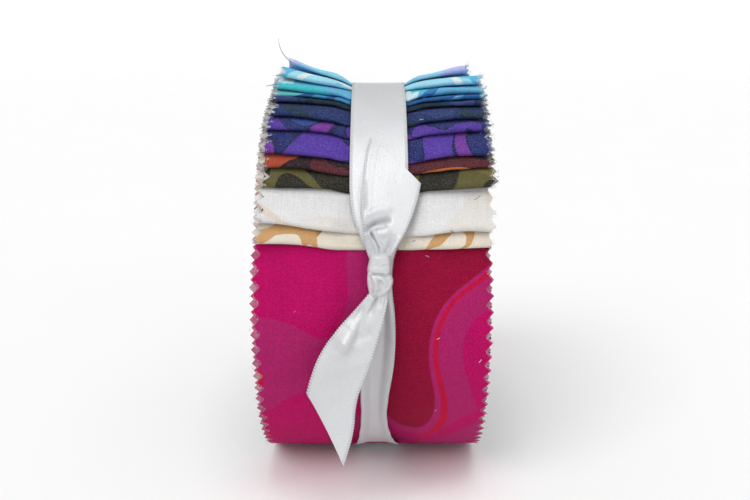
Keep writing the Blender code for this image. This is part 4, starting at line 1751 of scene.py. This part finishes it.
@dataclass
class LooseThreads:
    """Frayed ends along the pinked edges, and lint on the cloth.

    Attributes:
        winding: The roll.
        edges: Points of the pinked edges, the tints of their cloth, and how much they are seen.
        seed: Of the threads' places and bends.
        count: Frayed ends.
        lowest: Height of a thread that lies on the floor.
    """

    winding: Winding
    edges: tuple[Array, Array, Array]
    seed: int = 77
    count: int = 2600
    lowest: float = 0.08
    # Place on X, angle round the axis, height off the outline, reach along X, Y and Z, how far it
    # bends aside, thickness, and colour
    specks: tuple = (
        (-25.4, 92.0, 6.2, -3.7, 0.4, 7.2, -1.0, 0.16, 0.16, 0.18, 0.20),
        (-28.4, 77.5, 1.9, -3.2, -0.4, -0.5, 0.3, 0.16, 0.06, 0.12, 0.18),
        (19.8, 23.5, 0.5, 1.1, -0.2, -0.6, 0.1, 0.13, 0.02, 0.03, 0.22),
        (10.1, 20.6, 0.5, 0.7, -0.1, 0.3, 0.1, 0.16, 0.05, 0.22, 0.60),
        (13.4, 16.9, 0.7, 0.9, -0.1, -0.4, 0.1, 0.14, 0.34, 0.30, 0.60),
        (12.6, 57.6, 1.3, 1.0, 0.0, 0.3, 0.2, 0.10, 0.70, 0.72, 0.78),
        (22.6, 66.5, 2.6, 1.2, 0.1, 0.2, 0.2, 0.10, 0.70, 0.72, 0.78),
        (26.2, 31.5, 1.2, 1.5, -0.2, 1.2, 0.3, 0.11, 0.18, 0.18, 0.22),
        (16.6, -5.5, 0.4, 0.8, -0.1, 0.4, 0.2, 0.16, 0.60, 0.42, 0.20),
        (28.0, -12.5, 0.4, 0.5, -0.3, 0.9, 0.2, 0.16, 0.65, 0.45, 0.42),
        (-21.0, 2.0, 0.4, 0.5, -0.1, 0.4, 0.1, 0.09, 0.55, 0.25, 0.42),
        (-14.5, -20.0, 0.4, 0.4, -0.1, 0.3, 0.1, 0.10, 0.60, 0.35, 0.50),
        (17.0, -31.0, 0.4, 0.4, -0.1, 0.4, 0.1, 0.10, 0.60, 0.35, 0.50),
    )
    # Points along a thread, its thickness at the far end as a share, a direction that no thread
    # follows, and the tone of a bare thread
    STATIONS = 6
    TAPER = 0.65
    ASLANT = (0.31, 0.52, 0.79)
    BARE = 0.68
    # Of a frayed end: scatter of its start, its outward part, length and the length's power, bend,
    # how bare it is, and radius
    SCATTER = 0.25
    OUTWARD = (0.2, 1.0)
    LENGTH = (0.3, 1.15)
    LENGTH_POWER = 1.5
    BEND = 0.25
    BARENESS = (0.15, 1.0)
    RADIUS = (0.035, 0.06)
    # Of lint: the direction in which it bends aside, and the scatter of that
    BEND_WAY = (1.0, 0.2, 0.3)
    KINK = 0.05

    def build(self, finish: bpy.types.Material) -> bpy.types.Object:
        """Makes every thread as a thin three-sided tube along a curve, all in one mesh.

        Args:
            finish: The threads' material.

        Returns:
            The piece.
        """
        rng = np.random.default_rng(self.seed)
        made = (self.frayed(rng), self.lint(rng))
        lines, radius, tints = (np.concatenate(values) for values in zip(*made))
        lines[..., 2] = np.maximum(lines[..., 2], self.lowest)
        many, rows = lines.shape[:2]
        taper = radius[:, None, None, None] * np.linspace(1.0, self.TAPER, rows)[:, None, None]
        turn = np.radians(np.array([0.0, 120.0, 240.0]))[:, None]
        along = np.gradient(lines, axis=1)
        along = along / np.maximum(np.linalg.norm(along, axis=-1, keepdims=True), 1e-6)
        side = np.cross(along, np.array(self.ASLANT))
        side = side / np.maximum(np.linalg.norm(side, axis=-1, keepdims=True), 1e-6)
        other = np.cross(along, side)
        ring = side[:, :, None] * np.cos(turn) + other[:, :, None] * np.sin(turn)
        tubes = lines[:, :, None] + ring * taper
        block = grid_faces(rows, 3, ring=True)
        caps = np.array([[2, 1, 0], [0, 1, 2]]) + np.array([[0], [3 * (rows - 1)]])
        start = (np.arange(many) * rows * 3)[:, None, None]
        faces = (block + start).reshape(-1, 4).tolist() + (caps + start).reshape(-1, 3).tolist()
        mesh = mesh_of("loose_threads", tubes.reshape(-1, 3), faces)
        put(mesh, "tint", np.repeat(tints, rows * 3, axis=0))
        mesh.shade_smooth()
        return linked("loose_threads", mesh, finish)

    def curves(self, start: Array, reach: Array, bend: Array) -> Array:
        """Short curves: start, plus reach times t, plus four bends times t less t squared."""
        t = np.linspace(0, 1, self.STATIONS)[:, None]
        return start[:, None] + reach[:, None] * t + bend[:, None] * 4 * (t - t**2)

    def frayed(self, rng: np.random.Generator) -> tuple[Array, Array, Array]:
        """Threads that stand out of the pinked edges, each tinted by its cloth or left white.

        Args:
            rng: Source of the random draws.

        Returns:
            Curves, radii and tints.
        """
        points, tints, seen = self.edges
        pick = rng.choice(len(points), self.count, p=seen / seen.sum())
        start = points[pick] + rng.normal(0, self.SCATTER, (self.count, 3))
        side = np.sign(start[:, 0])
        reach = rng.normal(0, 1.0, (self.count, 3))
        reach[:, 0] = side * rng.uniform(*self.OUTWARD, self.count)
        length = rng.uniform(*self.LENGTH, (self.count, 1)) ** self.LENGTH_POWER
        reach = reach / np.linalg.norm(reach, axis=-1, keepdims=True) * length
        bend = rng.normal(0, self.BEND, (self.count, 3)) * length
        white = rng.uniform(*self.BARENESS, (self.count, 1))
        shade = tints[pick] * (1 - white) + self.BARE * white
        shade[:, 3] = 1.0
        return self.curves(start, reach, bend), rng.uniform(*self.RADIUS, self.count), shade

    def lint(self, rng: np.random.Generator) -> tuple[Array, Array, Array]:
        """Specks and short fibres on the outer cloth, and the threads at the top left.

        Args:
            rng: Source of the random draws.

        Returns:
            Curves, radii and tints.
        """
        table = np.array(self.specks)
        a = np.radians(table[:, 1])
        radius = self.winding.radius + table[:, 2]
        y = self.winding.axis_y - radius * np.cos(a)
        z = self.winding.axis_z + radius * np.sin(a)
        start = np.stack([table[:, 0], y, z], axis=-1)
        bend = table[:, [6]] * np.array(self.BEND_WAY)
        bend = bend + rng.normal(0, self.KINK, (len(table), 3))
        shade = np.concatenate([table[:, 8:11], np.ones((len(table), 1))], axis=1)
        return self.curves(start, table[:, 3:6], bend), table[:, 7], shade


# The roll


@dataclass
class StripRoll:
    """The whole roll: its strips, its ribbon, and the threads on it."""

    # Each visible fold's angle at its left end, under the ribbon and at its right end, the shifts
    # of both layers, how far the rounded fold stands up, and the tucks and tips of its corners
    visible: tuple = (
        ("tan", 20.2, 18.7, 19.2, -0.15, -0.9, 1.15, 0.0, 0.0, 0.9, 0.0),
        ("cream", 25.4, 22.9, 23.1, 0.35, -0.7, 1.75, 0.0, 0.0, 0.8, 0.0),
        ("olive", 36.4, 34.7, 35.7, 1.6, -0.7, 1.50, 0.0, 0.0, 0.0, 1.0),
        ("rust", 42.0, 40.3, 41.7, 1.2, -0.3, 1.30, 0.0, 0.0, 0.0, 0.3),
        ("grape", 46.8, 44.4, 45.9, 1.2, -0.5, 1.80, 0.0, 0.0, 0.0, 0.0),
        ("violet", 56.6, 53.4, 55.5, 1.3, -0.4, 1.60, 0.0, 0.0, 0.0, 0.0),
        ("navy", 62.4, 59.0, 60.8, 1.8, 0.0, 1.55, 0.4, 0.4, 0.0, 0.0),
        ("pine", 71.8, 67.0, 67.9, 1.4, 0.2, 1.30, 0.2, 0.2, 0.0, 0.0),
        ("surf", 77.6, 70.3, 72.4, 1.7, 0.7, 1.10, 0.0, 0.0, 0.0, 0.0),
        ("teal", 79.6, 72.4, 74.8, 1.5, 0.7, 1.60, 0.2, 0.0, 0.3, 0.5),
        ("aqua", 84.8, 81.4, 81.8, 1.7, 0.9, 1.80, 1.8, 0.5, 0.9, 0.5),
        ("sky", 94.5, 90.0, 93.5, 1.9, 1.9, 1.60, 3.2, 3.6, 1.4, 0.5),
    )
    # The cloths of the folds past the top, the angles of the first and the last of them, and the
    # seed of their shifts and puff
    hidden: tuple = (
        "aqua", "violet", "navy", "grape", "teal", "rust", "tan", "magenta", "grape", "violet",
        "olive", "magenta",
    )
    hidden_first: float = 100.5
    hidden_last: float = 170.0
    seed: int = 41

    # Of the hidden folds' angles: a sine's height, step and start for their unevenness, one's
    # height and step for their tilt, and how far they dip at the ribbon
    UNEVEN = (1.1, 2.4, 0.6)
    TILT = (1.0, 1.7)
    DIP = 0.8
    # Least and most of the hidden strips' shifts and puff
    HIDDEN_SHIFTS = ((-0.9, 0.7), (-1.2, 0.7))
    HIDDEN_PUFF = (0.9, 1.5)
    # The gap under the folds on the front and on the top, and how many lie on the front
    FRONT_GAP = 0.36
    TOP_GAP = 0.08
    FRONT_FOLDS = 8
    # Depth of the right edge's teeth on the frayed folds and on the others, and how many are frayed
    FRAYED_TEETH = 0.45
    WORN_TEETH = 0.75
    FRAYED_FOLDS = 2
    # Shifts of the last strip but one, shifts and puff of the outermost one, its width, and how
    # strongly the print shows on the reverse of both
    NEXT_SHIFTS = (-1.2, -0.9)
    OUTERMOST = (-0.35, -0.65, 1.1)
    OUTERMOST_WIDTH = 63.9
    OUTER_SOAKED = 0.75
    # How far the first hidden fold's corners are drawn in, and how much less each later one's are
    TUCKS = (4.5, 3.6)
    TUCK_FALL = 1.2
    # Metres: the cut strip, the ribbon's width, and the slanted hanging end's area
    STRIP_FLAT = (0.0635, 1.118)
    RIBBON_WIDTH = 0.0155
    TAIL_AREA = 0.00068

    def folds(self) -> Array:
        """Angles of all folds at the left end, under the ribbon and at the right end.

        Returns:
            A row of three angles for each fold.
        """
        steps = np.arange(len(self.hidden))
        last = len(steps) - 1
        high, step, start = self.UNEVEN
        uneven = high * np.sin(step * steps + start) * (steps > 0) * (steps < last)
        middle = self.hidden_first + (self.hidden_last - self.hidden_first) * steps / last + uneven
        high, step = self.TILT
        tilt = high * np.sin(step * steps)
        hidden = np.stack([middle + tilt, middle - self.DIP, middle - tilt], axis=-1)
        shown = np.array([row[1:4] for row in self.visible])
        return np.concatenate([shown, hidden])

    def strips(self) -> list[FoldedStrip]:
        """Every strip, innermost first.

        Returns:
            The strips.
        """
        rng = np.random.default_rng(self.seed)
        made = []
        for place, row in enumerate(self.visible):
            name, shift, under, puff = row[0], *row[4:7]
            nodes = (f"strip_{name}",)
            strip = FoldedStrip(f"cloth_{name}", place, f"cotton_{name}", shift, under, puff, nodes)
            strip.tuck, strip.tip = row[7:9], row[9:11]
            strip.gap = self.FRONT_GAP if place < self.FRONT_FOLDS else self.TOP_GAP
            strip.right_teeth = self.FRAYED_TEETH if place < self.FRAYED_FOLDS else self.WORN_TEETH
            made.append(strip)
        for number, name in enumerate(self.hidden):
            place = len(self.visible) + number
            shift, under = (float(rng.uniform(*span)) for span in self.HIDDEN_SHIFTS)
            puff = float(rng.uniform(*self.HIDDEN_PUFF))
            left = len(self.hidden) - 1 - number
            if left == 1:
                shift, under = self.NEXT_SHIFTS
            if left == 0:
                shift, under, puff = self.OUTERMOST
            title = f"cloth_inner_{place:02d}"
            strip = FoldedStrip(title, place, f"cotton_{name}", shift, under, puff, ("roll",))
            if left <= 1:
                strip.settled, strip.soaked = 1.0, self.OUTER_SOAKED
            if left == 0:
                strip.width = self.OUTERMOST_WIDTH
            strip.tuck = tuple(max(most - self.TUCK_FALL * number, 0.0) for most in self.TUCKS)
            made.append(strip)
        return made

    def build(self) -> None:
        """Makes, dresses and declares every piece."""
        winding = Winding(self.folds())
        finishes = {slot: cotton.material() for slot, cotton in PRINTS.items()}
        finishes.update({face: face.material() for face in PlainFace})
        edges = []
        for strip in self.strips():
            piece = strip.build(winding, finishes)
            edges.append(strip.frayed_edge)
            declare(piece, strip.slot, *strip.nodes)
        self.tie(winding, tuple(np.concatenate(values) for values in zip(*edges)))

    def tie(self, winding: Winding, edges: tuple[Array, Array, Array]) -> None:
        """Makes the ribbon and the threads.

        Args:
            winding: The roll.
            edges: Points of the strips' pinked edges, their tints, and how much they are seen.
        """
        satin = Satin().material()
        ribbon = Ribbon(winding)
        knot = ribbon.knot(satin)
        pieces = (
            (ribbon.band(satin), "ribbon_band", 0.358, "gathered", "roll"),
            (ribbon.tail_up(satin), "ribbon_tail_up", 0.033, "laid", "ribbon_band"),
            (ribbon.tail_down(satin), "ribbon_tail_down", 0.052, "hung", "ribbon_knot"),
        )
        for piece, node, length, held, under in pieces:
            declare(piece, "satin", node)
            area = self.TAIL_AREA if node == "ribbon_tail_down" else None
        declare(knot, "satin", "ribbon_knot")
        threads = LooseThreads(winding, edges).build(LooseThread().material())
        declare(threads, "thread")


# The room


@dataclass
class Studio:
    """A pale floor, soft light, and a camera that stands where the photographer stood.

    Attributes:
        distance: From the roll's axis to the camera, in metres.
        elevation: Degrees that the camera looks down.
        lens: In millimetres.
        axis: The roll's axis on Y and Z.
        drop: Shift of the frame.
        surround: Strength of the even light.
    """

    distance: float = 0.295
    elevation: float = 15.0
    lens: float = 43.92
    axis: tuple[float, float] = (0.0036, 0.05593)
    drop: tuple[float, float] = (1 / 750, 13 / 750)
    surround: float = 0.46
    # Radii of the floor's flat rings, the height of its wall, and its points round
    floor_rings: tuple[float, ...] = (0.02, 0.5, 2.0, 5.0)
    wall_height: float = 1.4
    floor_sides: int = 96
    # Turn and height, spread, and power of each lamp
    lamps: tuple = (
        ("key", (-34.0, 46.0), 34.0, 1.10),
        ("fill", (30.0, 14.0), 60.0, 0.48),
        ("top", (12.0, 78.0), 30.0, 0.90),
    )

    def camera(self) -> None:
        """Aims the camera at the roll's axis, and shifts its frame to the photograph's."""
        made = linked("camera", bpy.data.cameras.new("camera"))
        a = math.radians(self.elevation)
        y, z = self.axis
        made.location = (0.0, y - self.distance * math.cos(a), z + self.distance * math.sin(a))
        made.rotation_euler = (math.radians(90) - a, 0.0, 0.0)
        made.data.sensor_width = 36.0
        made.data.lens = self.lens
        made.data.shift_x, made.data.shift_y = self.drop
        made.data.clip_start = 0.01
        bpy.context.scene.camera = made

    def floor(self) -> None:
        """A round floor of matt near-white paper whose rim curves up into a low wall.

        The profile is flat to 5 m, then a quarter circle of 1 m, carried once round the roll.
        """
        rim = np.radians(np.linspace(6, 90, 15))
        rings, flat = self.floor_rings, self.floor_rings[-1]
        reach = np.concatenate([rings, flat + np.sin(rim), [flat + 1.0]])
        height = np.concatenate([np.zeros(len(rings)), 1.0 - np.cos(rim), [self.wall_height]])
        turn = np.linspace(0, 2 * math.pi, self.floor_sides, endpoint=False)
        x, y = reach[:, None] * np.cos(turn), reach[:, None] * np.sin(turn)
        points = np.stack([x, y, height[:, None] + 0 * turn], axis=-1) / MM
        faces = grid_faces(len(reach), self.floor_sides, ring=True)[:, ::-1].tolist()
        faces.append(list(range(self.floor_sides)))
        mesh = mesh_of("floor", points.reshape(-1, 3), faces)
        mesh.shade_smooth()
        graph = Graph("pale_floor")
        place = graph.node("ShaderNodeTexCoord", {}, {}, "Object")
        tone = graph.noise(place, 9.0, 2.0) * 0.02 + 0.97
        shade = graph.toned((0.97, 0.97, 0.97, 1.0), tone)
        linked("floor", mesh, graph.finish({"Base Color": shade, "Roughness": 0.95}))

    def light(self) -> None:
        """A bright even surround, and three broad soft lamps so far off that the floor is even."""
        bpy.context.scene.view_settings.view_transform = "Standard"
        world = bpy.data.worlds.new("surround")
        bpy.context.scene.world = world
        world.use_nodes = True
        back = world.node_tree.nodes["Background"]
        back.inputs["Color"].default_value = WHITE
        back.inputs["Strength"].default_value = self.surround
        for name, way, spread, power in self.lamps:
            self.lamp(name, way, spread, power)

    @staticmethod
    def lamp(name: str, way: tuple[float, float], spread: float, power: float) -> None:
        """A far lamp at this turn to the right of the camera and this height, both in degrees.

        Args:
            name: Of the lamp.
            way: Turn and height.
            spread: Width of its disc.
            power: Its strength.
        """
        data = bpy.data.lights.new(name, "SUN")
        data.angle = math.radians(spread)
        data.energy = power
        turn, height = way
        linked(name, data).rotation_euler = (math.radians(90 - height), 0.0, math.radians(turn))


def main() -> None:
    """Builds the room and the roll."""
    logging.basicConfig(level=logging.INFO, format="%(message)s")
    studio = Studio()
    studio.camera()
    studio.floor()
    studio.light()
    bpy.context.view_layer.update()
    StripRoll().build()


if __name__ == "__main__":
    main()
